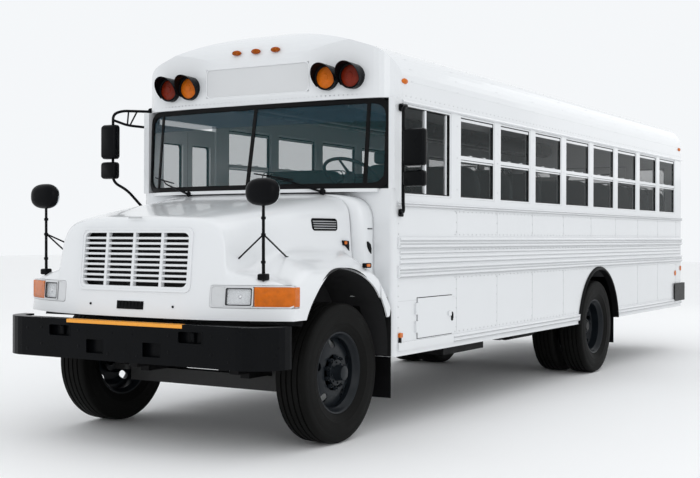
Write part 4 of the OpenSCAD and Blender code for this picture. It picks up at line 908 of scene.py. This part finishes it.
def side_rails():
    for s, start, name in ((1, 650, "left"), (-1, DOOR_REAR_Y + 12, "right")):
        shape, groove_shade = Shape(), Shape()
        end = REAR_Y - 6

        def rolled(y0, y1, z, h, out):
            """A ridge with a strip of painted shade under it, in its groove."""
            ridge(shape, y0, y1, z, h, out)
            x = s * (HALF_W + (RAIL_T if out > RAIL_T else 0))
            x0, x1 = sorted((x - s, x + s * 0.9))
            # A darker strip under the ridge: painted shade in the groove
            groove_shade.box((x0, y0, z - 6), (x1, y1, z + 1))

        for z in (RAIL_A, RAIL_B):
            rolled(start, end, z + 3, 28, RAIL_T + 11)
            rolled(start, end, z + RAIL_H - 31, 28, RAIL_T + 11)
            rolled(start, end, z + 36, 16, RAIL_T + 3)
        for k in range(3):
            rolled(start + 20, end - 20, RAIL_B + RAIL_H + 16 + k * 38, 22, 9)
        rolled(start - 20, end, BELT_Z + 2, 13, RAIL_T + 6)
        rolled(start - 20, end, BELT_Z + 19, 13, RAIL_T + 6)
        arch = REAR_ARCH_R + 22
        for y0, y1 in ((start + 30, WHEELBASE - arch), (WHEELBASE + arch, REAR_Y - 12)):
            runs = [(y0, y1)]
            if s > 0 and y0 < 1570:
                runs = [(1575, y1)]
            for a, b in runs:
                rolled(a, b, BASE_Z + 3, 20, RAIL_T + 6)
                rolled(a, b, BASE_Z + 36, 20, RAIL_T + 6)
        if s < 0:
            shape.verts = [(-x, y, z) for x, y, z in shape.verts]
            shape.faces = [tuple(reversed(f)) for f in shape.faces]
        piece(f"{name}_side_rails", shape, "bus", WHITE, bevel=0.0015)
        piece(f"{name}_rail_groove_shade", groove_shade, "bus", WHITE_IN_PAINTED_SHADE, smooth=0)
    drip = Shape()
    profile = [(-2, 12), (12, 8), (16, 16), (13, 22), (-2, 34)]
    drip.prism([(HALF_W + x, HEADER_Z + z) for x, z in profile], "y", 700, REAR_Y - 10)
    drip.prism([(HALF_W - 30, 2640), (HALF_W - 4, 2634), (HALF_W + 1, 2640), (HALF_W - 30, 2652)], "y", 750,
               REAR_Y - 10)
    piece("drip_rails", drip.mirrored(), "bus", WHITE)


side_rails()


def rivet(shape, p, out, r=6.5, h=3.2):
    """A low dome at p, whose top points along out."""
    out = Vector(out).normalized()
    side = out.orthogonal().normalized()
    up = out.cross(side)
    p = Vector(p)
    rings = [[p + side * r * c * k + up * r * s * k + out * t for c,
              s in ((math.cos(a), math.sin(a)) for a in turns(7))]
             for k, t in ((1, -1), (0.78, h * 0.8), (0.2, h))]
    return shape.grid(rings, close_u=True, caps=True)


RIVET_Y, RIVET_Z = 82, 78  # pitch of the rivets along the side, and up a post
ARCH_TOP, ARCH_CLEAR = 1125, REAR_ARCH_R + 30  # where rivets and seams stop round the rear wheel


def seams_and_rivets():
    studs, seam_shade = Shape(), Shape()
    posts = [WINDOW_Y - 65 + WINDOW_PITCH * i for i in range(WINDOW_N + 1)]
    out = (1, 0, 0)
    for z, x in ((BELT_Z - 22, HALF_W), (RAIL_A + RAIL_H + 20, HALF_W), (RAIL_A - 14, HALF_W), (RAIL_B - 22, HALF_W),
                 (BASE_Z + 82, HALF_W)):
        y = 1620
        while y < REAR_Y - 20:
            if abs(y - WHEELBASE) > ARCH_CLEAR or z > ARCH_TOP:
                rivet(studs, (x, y, z), out)
            y += RIVET_Y
    for y in posts:
        for z in range(BASE_Z + 120, BELT_Z - 30, RIVET_Z):
            inside = abs(y - WHEELBASE) < ARCH_CLEAR and z < ARCH_TOP
            on_rail = RAIL_B - 10 < z < RAIL_A + RAIL_H + 10
            if not inside and not on_rail:
                rivet(studs, (HALF_W, y - 10, z), out)
        for z in (1850, 2110, 2370):
            rivet(studs, (HALF_W, y, z), out)
        low = BASE_Z + 70 if abs(y - WHEELBASE) > ARCH_CLEAR else ARCH_TOP
        for z0, z1 in ((low, RAIL_B - 2), (RAIL_A + RAIL_H + 2, BELT_Z - 2)):
            # Darker lines down each post: painted shade in the panel seams
            seam_shade.box((HALF_W - 1, y - 1.6, z0), (HALF_W + 0.7, y + 1.6, z1))
    for z in range(700, 1680, RIVET_Z):
        if not RAIL_B - 10 < z < RAIL_A + RAIL_H + 10:
            rivet(studs, (HALF_W, 648, z), out)
    seam_shade.box((HALF_W - 1, 652, RAIL_B - 180), (HALF_W + 0.7, 1640, RAIL_B - 177))
    # Roof: one bow of rivets over each post, following the roof's curve
    for y in posts + [WINDOW_Y - 65 - WINDOW_PITCH * 0.98]:
        for k in range(16):
            x, z, n = roof_point(k / 15)
            rivet(studs, (x, y, z), n, 4.6, 1.8)
            if k < 15:
                x2, z2, n2 = roof_point((k + 1) / 15)
                seam_shade.grid([[(x + n[0] * 0.8, y + 22 + d, z + n[2] * 0.8),
                             (x2 + n2[0] * 0.8, y + 22 + d, z2 + n2[2] * 0.8)] for d in (-1.6, 1.6)])
    y = 760
    while y < REAR_Y - 30:
        rivet(studs, (HALF_W - 1, y, HEADER_Z + 62), out)
        y += RIVET_Y
    studs.mirrored()
    seam_shade.mirrored()
    # Rivets and seam lines darker than the white enamel: painted shade round and between them
    piece("side_and_roof_rivets", studs, "bus", WHITE_IN_PAINTED_SHADE)
    piece("panel_seam_shade", seam_shade, "bus", WHITE_IN_PAINTED_SHADE, smooth=0)


ROOF_R, SHOULDER_R = 3000, 260


def roof_point(t):
    """A point of the roof's skin from the middle (0) to the top of the side (1), and the way it faces."""
    flat = HALF_W - SHOULDER_R
    centre_z = ROOF_Z - ROOF_R
    # The crown's arc meets the shoulder's arc where their centres and the joint are in line
    tilt = math.asin(flat / (ROOF_R - SHOULDER_R))
    shoulder_z = centre_z + (ROOF_R - SHOULDER_R) * math.cos(tilt)
    crown_l, shoulder_l = ROOF_R * tilt, SHOULDER_R * (math.pi / 2 - tilt)
    run = t * (crown_l + shoulder_l)
    if run <= crown_l:
        a = run / ROOF_R
        return ROOF_R * math.sin(a), centre_z + ROOF_R * math.cos(a), (math.sin(a), 0, math.cos(a))
    a = tilt + (run - crown_l) / SHOULDER_R
    return flat + SHOULDER_R * math.sin(a), shoulder_z + SHOULDER_R * math.cos(a), (math.sin(a), 0, math.cos(a))


seams_and_rivets()


def window_frames():
    """Black channels round each window, bright sash frames with a meeting rail, and a step at the sill."""
    rubber, frames = Shape(), Shape()
    mid = (SILL_Z + HEADER_Z) / 2
    openings = [(DRIVER_WINDOW[0], DRIVER_WINDOW[1], True)] + [(WINDOW_Y + WINDOW_PITCH * i, WINDOW_W, False)
                                                               for i in range(WINDOW_N)]
    for s in (1, -1):
        for y, w, driver in openings:
            if driver and s < 0:
                continue
            outline = rounded((y + 1, SILL_Z + 1), (y + w - 1, HEADER_Z - 1), 4, 1)

            def scaled(inset):
                return shrunk(outline, y + w / 2, mid, 1 - 2 * inset / w, 1 - 2 * inset / (HEADER_Z - SILL_Z))

            for shape, i0, i1, x0, x1 in ((frames, 0, 15, HALF_W - 26, HALF_W - 2),
                                          (rubber, 14, 24, HALF_W - 34, HALF_W - 8)):
                rows = [[(s * x, a, b) for a, b in scaled(i)] for x,
                        i in ((x0, i0), (x1, i0), (x1 - 2, i1 - 3), (x1 - 6, i1), (x0, i1))]
                shape.grid(rows, close_u=True, close_v=True)
            x0, x1 = sorted((s * (HALF_W - 30), s * (HALF_W - 4)))
            if driver:
                frames.box((x0, y + w * 0.46, SILL_Z + 20), (x1, y + w * 0.46 + 26, HEADER_Z - 20))
                frames.box((x0, y + w - 80, SILL_Z + 20), (x1 - 6, y + w - 64, HEADER_Z - 20))
            else:
                frames.box((x0, y + 12, mid - 18), (x1, y + w - 12, mid + 14))
                frames.box((x0, y + 20, mid - 36), (x1 - 5 * s if s > 0 else x1, y + w - 20, mid - 22))
                frames.box((x0, y + 14, HEADER_Z - 46), (x1 - 8 * (s > 0), y + w - 14, HEADER_Z - 22))
                for dy in (0.3, 0.7):
                    frames.box((x0 - 3 * (s < 0), y + w * dy - 22, mid + 16),
                               (x1 + 3 * (s > 0), y + w * dy + 22, mid + 22))
    piece("window_channels", rubber, "bus", RUBBER)
    piece("window_sash_frames", frames, "bus", WHITE, ["window_sashes"], bevel=0.0015)


window_frames()


def rear_arch_lips():
    shape = Shape()
    low = math.degrees(math.asin((SKIRT_Z - AXLE_Z) / REAR_ARCH_R))
    rows = []
    for y, z in arc(WHEELBASE, AXLE_Z, 1, low, 180 - low, 48):
        c, s = y - WHEELBASE, z - AXLE_Z
        line = []
        for r, x in ((REAR_ARCH_R - 3, HALF_W - 50), (REAR_ARCH_R - 3, HALF_W + 14), (REAR_ARCH_R + 8, HALF_W + 20),
                     (REAR_ARCH_R + 24, HALF_W + 14),
                     (REAR_ARCH_R + 34, HALF_W + 1), (REAR_ARCH_R + 2, HALF_W - 40)):
            line.append((x, WHEELBASE + r * c, AXLE_Z + r * s))
        rows.append(line)
    shape.grid(rows, close_u=True, caps=True)
    piece("rear_arch_lips", shape.mirrored(), "bus", RUBBER)


rear_arch_lips()

# ---- bumper trim ----


def bumper_trim():
    low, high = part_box("front_bumper")
    face = low.y * 1000 + FRONT_AXLE_Y
    top = high.z * 1000
    tape, black = Shape(), Shape()
    tape.prism([(face - 1.2, top - 26), (face - 1.2, top - 3), (face + 3, top + 1.2), (face + 34, top + 1.2),
                (face + 34, top - 0.5), (face + 1, top - 26)],
               "x", -518, 518)
    piece("bumper_tape", tape, "bus", TAPE, bevel=0.001)
    for s in (-1, 1):
        a, b = sorted((s * 478, s * 692))
        outer = dense(rounded((a, 748), (b, 838), 16), 60)
        ring(black, outer, shrunk(outer, (a + b) / 2, 793, 0.93, 0.84), lambda x, z: face - 2, 12)
        a, b = sorted((s * 175, s * 335))
        outer = dense(rounded((a, 643), (b, 747), 8), 60)
        ring(black, outer, shrunk(outer, (a + b) / 2, 695, 0.95, 0.92), lambda x, z: face - 1.5, 8)
        for x, z in ((s * 405, 690), (s * 405, 800), (s * 760, 690), (s * 760, 810), (s * 130, 650), (s * 900, 650),
                     (s * 900, 800)):
            black.lathe([(4, 12), (-1, 12), (-2, 9), (-2.4, 0.1)], (x, face, z), axis="y", n=12)
        black.tube([(s * 585, face + 40, 760), (s * 585, face + 30, 826)], 16, 12)
    black.box((-900, face + 46, 630), (900, face + 52, 850))
    piece("bumper_fittings", black, "bus", BLACK, bevel=0.0015)


bumper_trim()

# ---- markers, reflectors, a latch and painted shade round the battery door ----


def side_fittings():
    amber, black, lens = Shape(), Shape(), Shape()
    amber.prism(rounded((645, 702), (690, 738), 8), "x", HALF_W + 1, HALF_W + 20)
    black.prism(rounded((650, 660), (680, 704), 6), "x", HALF_W + 1, HALF_W + 14)
    for x in (-188, 0, 188):
        amber.ball((x, 512, 2926), (42, 30, 21), 16)
        amber.ball((x, REAR_Y + 6, 2920), (40, 20, 20), 16)
    amber.ball((HALF_W - 2, 740, 2636), (22, 42, 22), 16)
    amber.ball((HALF_W + 2, REAR_Y - 120, 2620), (20, 42, 22), 16)
    amber.ball((1040, REAR_Y + 4, 2850), (30, 18, 30), 16)
    lens.lathe([(0, 34), (7, 33), (9, 28), (10, 0.1)], (HALF_W, 8172, 1002), n=24)
    amber.prism(rounded((8392, 1030), (8432, 1092), 8), "x", HALF_W + 1, HALF_W + 10)
    piece("marker_lamp_lenses", amber.mirrored(), "bus", AMBER, ["marker_lamps"], bevel=0.002)
    piece("side_reflectors", lens.mirrored(), "bus", AMBER)
    latch = Shape()
    latch.prism(rounded((1530, 778), (1566, 852), 16), "x", HALF_W + 7, HALF_W + 13)
    latch.box((HALF_W + 12, 1540, 800), (HALF_W + 22, 1552, 836))
    piece("battery_door_latch", latch, "battery_door", BLACK, bevel=0.002)
    piece("side_marker_bases", black.mirrored(), "bus", RUBBER, bevel=0.002)
    # Dark strips round the battery door: painted shade in its gap
    seam = Shape()
    for a, b in border(946, 1561, 672, 990, 5):
        seam.box((HALF_W - 2, a[0], a[1]), (HALF_W + 0.8, b[0], b[1]))
    piece("battery_door_gap_shade", seam, "bus", BLACK_LINER_AND_VOID_SHADE, smooth=0)


side_fittings()

# ---- wheel wells and cowl fairing ----


def wheel_wells():
    """Dark liners that close the hood's front arches, and splash panels behind them."""
    liner = Shape()
    r = ARCH[2] + 10
    rows = [[(x, y, z) for x in (742, 900, 1060, FENDER_X - 16)] for y, z in arc(ARCH[0], ARCH[1], r, 30, 158, 28)]
    liner.grid(rows)
    wall = [[(742, y, NOSE_Z + 10), (742, y, max(NOSE_Z + 20, z))] for y, z in arc(ARCH[0], ARCH[1], r, 30, 158, 28)]
    liner.grid(wall)
    liner.grid([[(x, y, z) for x in (975, 1080, FENDER_X - 16)] for y, z in arc(ARCH[0], ARCH[1], r - 2, -6, 34, 10)])
    piece("front_wheel_liners", liner.mirrored(), "hood", BLACK_LINER_AND_VOID_SHADE)
    splash = Shape()
    splash.prism([(742, 566), (HALF_W - 24, 566), (HALF_W - 24, 900), (1160, 1010), (742, 1010)], "y", FRONT_Y - 8,
                 FRONT_Y - 2)
    piece("front_splash_panels", splash.mirrored(), "bus", CHASSIS)


wheel_wells()


def cowl_fairing():
    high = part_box("cowl")[1]
    half, top = high.x * 1000, high.z * 1000
    section = hood_section(HOOD_REAR_Y)[:7]
    w, z_top = section[-1][0], section[0][1]
    section += [(w + 1, 1480), (w + 2, 1320), (w + 3, 1180), (w + 3, 1090), (w + 3, 1012)]
    rows = []
    for y, t, inset in ((HOOD_REAR_Y + 26, 0.05, 26), (HOOD_REAR_Y + 9, 0.05, 14), (HOOD_REAR_Y + 6, 0.08, 2),
                        (HOOD_REAR_Y + 14, 0.45, 0), (HOOD_REAR_Y + 40, 0.85, 0),
                        (HOOD_REAR_Y + 80, 0.98, 0), (FRONT_Y - 1, 1.0, 0)):
        kx = 1 + (half / w - 1) * t - inset / w
        rows.append([(x * kx, y, z + (top - z_top) * t - inset * (z > 1400)) for x, z in section])
    shape = Shape().grid(rows).mirrored()
    fairing = piece("cowl_fairing", shape, "bus", WHITE, ["cowl"], weld=True)
    thick_skin(fairing, 1, 0.008)
    deck = Shape()
    ys = (HOOD_REAR_Y + 40, FRONT_Y)
    deck.grid([[(x, y, top - 3 + (y - ys[0]) * 0.04) for x in (-half + 170, 0, half - 170)] for y in ys])
    piece("cowl_deck", deck, "bus", WHITE)


cowl_fairing()

# ---- seats ----

SEAT_Y, SEAT_PITCH, SEAT_ROWS, SEAT_W = 1800, 711, 9, 950
CUSHION_Z, CUSHION_H, CUSHION_D = 1430, 120, 400
BACK_TOP, BACK_T = 2090, 95
SEAT_X1 = HALF_W - 50 - 14


def pad(shape, low, high, crown, axis, n=10):
    """A stuffed pad: its faces crown along axis, and its sides pull in between the corners."""
    u, v = [i for i in range(3) if i != axis]
    size = [high[i] - low[i] for i in range(3)]
    mid = [(high[i] + low[i]) / 2 for i in range(3)]
    rows = []
    for k in range(n + 1):
        b = -math.pi / 2 + math.pi * k / n
        t = math.sin(b)
        pull = math.cos(b) ** 0.28
        line = []
        for a in turns(48, math.pi / 48):
            c, s = math.cos(a), math.sin(a)
            q = 5 if pull > 0.2 else 3
            m = (abs(c) ** q + abs(s) ** q) ** (-1 / q)
            c, s = c * m, s * m
            p = [0.0, 0.0, 0.0]
            p[u] = mid[u] + size[u] / 2 * c * pull * (1 - 0.012 * (1 - abs(s)))
            p[v] = mid[v] + size[v] / 2 * s * pull * (1 - 0.012 * (1 - abs(c)))
            dome = 1 - 0.5 * min(1, (c * c + s * s)) * pull
            p[axis] = mid[axis] + (size[axis] / 2 - crown) * math.copysign(abs(t) ** 0.5, t) + crown * t * dome
            line.append(tuple(p))
        rows.append(line)
    return shape.grid(rows, close_u=True, caps=True)


def seats():
    cushions, backs, piping = Shape(), Shape(), Shape()
    x0, x1 = SEAT_X1 - SEAT_W + 4, SEAT_X1 - 4
    for i in range(SEAT_ROWS):
        y = SEAT_Y + SEAT_PITCH * i
        pad(cushions, (x0, y + 3, CUSHION_Z + 2), (x1, y + CUSHION_D - 4, CUSHION_Z + CUSHION_H), 24, 2)
        pad(backs, (x0, y + CUSHION_D + 3, CUSHION_Z - 36), (x1, y + CUSHION_D + BACK_T - 2, BACK_TOP), 16, 1)
        for yy in (y + CUSHION_D + 12, y + CUSHION_D + BACK_T - 12):
            outline = rounded((x0 + 16, CUSHION_Z - 20), (x1 - 16, BACK_TOP - 14), 46, 4)
            piping.tube([(a, yy, b) for a, b in outline + outline[:1]], 4.5, 6)
    piece("seat_cushion_pads", cushions.mirrored(), "bus", VINYL, ["seat_cushions"], smooth=70)
    piece("seat_back_pads", backs.mirrored(), "bus", VINYL, ["seat_backs"], smooth=70)
    piece("seat_piping", piping.mirrored(), "bus", VINYL)
    driver = Shape()
    cx = (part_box("driver_seat")[0].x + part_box("driver_seat")[1].x) * 500
    pad(driver, (cx - 238, 1212, 1432), (cx + 238, 1640, 1552), 26, 2)
    pad(driver, (cx - 228, 1612, 1500), (cx + 228, 1710, 2082), 22, 1)
    pad(driver, (cx - 128, 1622, 2079), (cx + 128, 1692, 2198), 18, 1)
    piece("driver_seat_pads", driver, "bus", VINYL, ["driver_seat"], smooth=70)
    base = Shape()
    base.prism(rounded((cx - 140, 1330), (cx + 140, 1590), 30), "z", 1090, 1432)
    for k in range(4):
        base.box((cx - 148 - k, 1325 - k, 1180 + k * 55), (cx + 148 + k, 1595 + k, 1196 + k * 55))
    piece("driver_seat_base", base, "bus", PLASTIC, bevel=0.003)


seats()

# ---- driver's place ----


WHEEL_R, GRIP_R, WHEEL_TILT = 225, 14, 32  # steering wheel: radii of its rim, and its lean in degrees
WHEEL_AT = (560, 1050, 1960)


def cockpit():
    wheel = Shape()
    cx = WHEEL_AT[0]
    tilt = math.radians(WHEEL_TILT)
    axis = Vector((0, math.sin(tilt), math.cos(tilt)))
    side = Vector((1, 0, 0))
    up = axis.cross(side)
    centre = Vector(WHEEL_AT)

    def on_wheel(r, a, t=0.0):
        return tuple(centre + (side * math.cos(a) + up * math.sin(a)) * r + axis * t)

    rows = []
    for a in turns(64):
        rows.append([on_wheel(WHEEL_R + GRIP_R * math.cos(b), a, GRIP_R * math.sin(b)) for b in turns(12)])
    wheel.grid(rows, close_u=True, close_v=True)
    for a in (30, 150, 270):
        a = math.radians(a)
        wheel.tube([on_wheel(30, a, -6), on_wheel(120, a, -4), on_wheel(218, a, 0)], (15, 10, 9), 10)
    wheel.grid([[on_wheel(r, a, t) for a in turns(28)] for r,
                t in ((45, -49), (46, -4), (42, 6), (30, 9), (0.5, 10))], close_u=True)
    piece("steering_wheel_rim", wheel, "steering_wheel", PLASTIC, ["steering_wheel"])
    panel, dial = Shape(), Shape()
    for k in range(5):
        x = cx - 150 + k * 75
        panel.lathe([(0, 34), (7, 34), (8, 30), (2, 29)], (x, 902, 1700), axis="y", n=24)
        dial.lathe([(2, 29), (2.5, 0.1)], (x, 902, 1700), axis="y", n=24)
    for k in range(10):
        panel.prism(rounded((cx - 180 + k * 40, 1605), (cx - 156 + k * 40, 1640), 4), "y", 900, 909)
    panel.prism([(902, 1786), (960, 1770), (960, 1788), (902, 1799)], "x", cx - 230, cx + 230)
    piece("dash_instruments", panel, "bus", PLASTIC)
    piece("dash_dials", dial, "bus", SILVER)
    # Inside mirror over the windshield, and grab rails
    inside = Shape()
    soft_box(inside, (180, 640, 2440), (760, 668, 2500), 20)
    piece("inside_mirror", inside, "bus", BLACK)
    rails = Shape()
    rails.tube(smooth_path([(-240, 1640, 1086), (-240, 1640, 1900), (-HALF_W + 80, 1640, 1900)], 60), 16, 12)
    rails.tube(smooth_path([(-240, 1640, 1500), (-HALF_W + 80, 1640, 1500)], 20), 14, 10)
    rails.tube(smooth_path([(-HALF_W + 110, 800, 700), (-HALF_W + 110, 700, 1500), (-HALF_W + 110, 700, 1700)], 80),
               14, 10)
    piece("grab_rails", rails, "bus", ALUMINIUM)


cockpit()

# ---- doors and rear ----


def door_trim():
    leaf = ENTRY_W / 2 - 9
    for body, y0 in (("entry_front_leaf", ENTRY_Y + 6), ("entry_rear_leaf", ENTRY_Y + ENTRY_W - 6 - leaf)):
        shape = Shape()
        for z in (530, 1430):
            outline = rounded((y0 + 56, z - 6), (y0 + leaf - 56, z + 846), 30)
            inner = shrunk(outline, y0 + leaf / 2, z + 420, 0.9, 0.965)
            rows = [[(-x, a, b) for a, b in line] for x, line in ((HALF_W - 6, outline), (HALF_W + 4, outline),
                                                                  (HALF_W + 4, inner), (HALF_W - 16, inner))]
            shape.grid(rows, close_u=True, close_v=True)
        edge = y0 + leaf + 0.5 if "front" in body else y0 - 0.5
        shape.box((-HALF_W + 1, edge - 3, 440), (-HALF_W + 34, edge + 3, 2380))
        piece(f"{body}_seals", shape, body, RUBBER, smooth=30)
    rear = Shape()
    for half, z0, z1 in ((370, 1800, 2330), (370, 1180, 1560)):
        outer = dense(rounded((-half - 14, z0 - 14), (half + 14, z1 + 14), 60), 60)
        inner = [(x * (half - 22) / (half + 14),
                (z0 + z1) / 2 + (z - (z0 + z1) / 2) * ((z1 - z0) / 2 - 22) / ((z1 - z0) / 2 + 14)) for x, z in outer]
        ring(rear, outer, inner, lambda x, z: REAR_Y + 6, -24)
    piece("rear_door_seals", rear, "rear_door", RUBBER)
    handle = Shape()
    handle.tube(smooth_path([(350, REAR_Y + 4, 1640), (350, REAR_Y + 42, 1640), (470, REAR_Y + 42, 1640)], 14), 11, 10)
    handle.lathe([(0, 34), (8, 34), (10, 28), (10, 0.1)], (350, REAR_Y, 1640), axis="y", n=20)
    piece("rear_door_handle", handle, "rear_door", BLACK)
    wall = Shape()
    for s in (-1, 1):
        a, b = sorted((s * 590, s * 1010))
        outer = dense(rounded((a - 14, 1786), (b + 14, 2394), 60), 60)
        ring(wall, outer, shrunk(outer, (a + b) / 2, 2090, 0.86, 0.9), lambda x, z: REAR_Y + 6, -24)
    piece("rear_window_seals", wall, "bus", RUBBER)
    # Dark strips round the rear door: painted shade in its gap
    gap = Shape()
    for a, b in border(-480, 480, 1020, 2420, 7):
        gap.box((a[0], REAR_Y - 3, a[1]), (b[0], REAR_Y + 1, b[1]))
    piece("rear_door_gap_shade", gap, "bus", BLACK_LINER_AND_VOID_SHADE, smooth=0)


door_trim()


def cap_front_y(x):
    """The front cap's face on the level of the windshield's top."""
    return 523 + 28 * max(0.0, (abs(x) - 520) / 380) ** 1.6


def front_cap_trim():
    studs = Shape()
    for i in range(57):
        x = 38 * (i - 28)
        studs.lathe([(-2, 5.5), (1.5, 4.5), (2.6, 0.1)], (x, cap_front_y(x) - 1, 2536), axis="y", n=8)
    # The rivets are darker than the white enamel: painted shade round them
    piece("front_cap_rivets", studs, "bus", WHITE_IN_PAINTED_SHADE)
    board, rim = Shape(), Shape()
    x0, z0, z1 = 497, 2580, 2811
    # The recess's floor is darker than the enamel: painted shade of the recess
    board.prism(rounded((-x0 + 4, z0 + 4), (x0 - 4, z1 - 4), 30, 6), "y", 521, 526)
    outer = dense(rounded((-x0 - 4, z0 - 4), (x0 + 4, z1 + 4), 36, 6), 60)
    inner = [(x * (x0 - 6) / (x0 + 4), 2695.5 + (z - 2695.5) * (z1 - z0 - 12) / (z1 - z0 + 8)) for x, z in outer]
    ring(rim, outer, inner, lambda x, z: 514, 8)
    piece("sign_board", board, "bus", SIGN_RECESS_SHADE)
    piece("sign_board_rim", rim, "bus", WHITE, bevel=0.004)


front_cap_trim()


def rear_lamps():
    red, amber, black = Shape(), Shape(), Shape()
    for x, z, r, lens in ((985, 1560, 88, red), (985, 1330, 88, amber), (760, 1560, 52, red)):
        black.lathe([(0, r + 6), (16, r + 5), (18, r - 4), (10, r - 6)], (x, REAR_Y, z), axis="y", n=32)
        lens.lathe([(10, r - 5), (20, r - 12), (28, r * 0.6), (31, r * 0.3), (32, 0.1)], (x, REAR_Y, z), axis="y", n=32)
    z = 2640  # the hooded lamps over the windows
    for x, lens in ((985, red), (760, amber)):
        black.lathe([(0, 92), (26, 92), (28, 84), (16, 82)], (x, REAR_Y, z), axis="y", n=32)
        lens.lathe([(16, 82), (24, 70), (32, 40), (34, 0.1)], (x, REAR_Y, z), axis="y", n=32)
        visor(black, (x, REAR_Y, z), (96, 98, 94, 92), 1, 70)
    piece("tail_lamp_rims", black.mirrored(), "bus", BLACK, ["tail_lamps"])
    piece("tail_lamp_red_lenses", red.mirrored(), "bus", RED)
    piece("tail_lamp_amber_lenses", amber.mirrored(), "bus", AMBER)


rear_lamps()

# ---- floor, light and camera ----


FLOOR, FLOOR_Z = 60, -0.001  # half size and height, in metres


def stage():
    """A pale floor that runs far past the bus."""
    mesh = bpy.data.meshes.new("floor")
    corners = ((-1, -1), (1, -1), (1, 1), (-1, 1))
    mesh.from_pydata([(a * FLOOR, b * FLOOR, FLOOR_Z) for a, b in corners], [], [(0, 1, 2, 3)])
    mesh.materials.append(surface("pale floor", (0.93, 0.93, 0.93), 0.7, 0.01, 0.4))
    obj = bpy.data.objects.new("floor", mesh)
    bpy.context.scene.collection.objects.link(obj)


def soft_light(name, position, aim, size, power):
    data = bpy.data.lights.new(name, "AREA")
    data.shape, data.size, data.energy = "SQUARE", size, power
    obj = bpy.data.objects.new(name, data)
    obj.location = position
    obj.rotation_euler = (Vector(aim) - Vector(position)).to_track_quat("-Z", "Y").to_euler()
    bpy.context.scene.collection.objects.link(obj)


def lights():
    world = bpy.data.worlds.new("studio")
    bpy.context.scene.world = world
    world.use_nodes = True
    world.node_tree.nodes["Background"].inputs["Color"].default_value = (0.96, 0.98, 1.0, 1)
    world.node_tree.nodes["Background"].inputs["Strength"].default_value = 0.95
    centre = (0, 0, 1.4)
    soft_light("overhead", (3, -2, 11), centre, 9, 130)
    soft_light("front left", (9, -12, 6), (0, -2, 1.2), 7, 170)
    soft_light("right side", (-10, -6, 5), (0, 0, 1.2), 7, 40)
    soft_light("rear", (3, 13, 6), centre, 7, 60)


CAMERA_AT = (5.4004, -10.7804, 1.4571)
AZIMUTH, TILT, ROLL = 31.0, 0.1, 0.2  # degrees
SENSOR, LENS = 36, 59.86  # mm


def camera():
    """The picture's view: its angle, height and lens."""
    data = bpy.data.cameras.new("camera")
    data.sensor_width, data.lens = SENSOR, LENS
    obj = bpy.data.objects.new("camera", data)
    turn = (Matrix.Rotation(math.radians(AZIMUTH), 4, "Z") @ Matrix.Rotation(math.radians(90 - TILT), 4, "X")
            @ Matrix.Rotation(math.radians(ROLL), 4, "Z"))
    obj.matrix_world = Matrix.Translation(CAMERA_AT) @ turn
    bpy.context.scene.collection.objects.link(obj)
    bpy.context.scene.camera = obj


stage()
lights()
camera()
bpy.context.scene.view_settings.view_transform = "Standard"
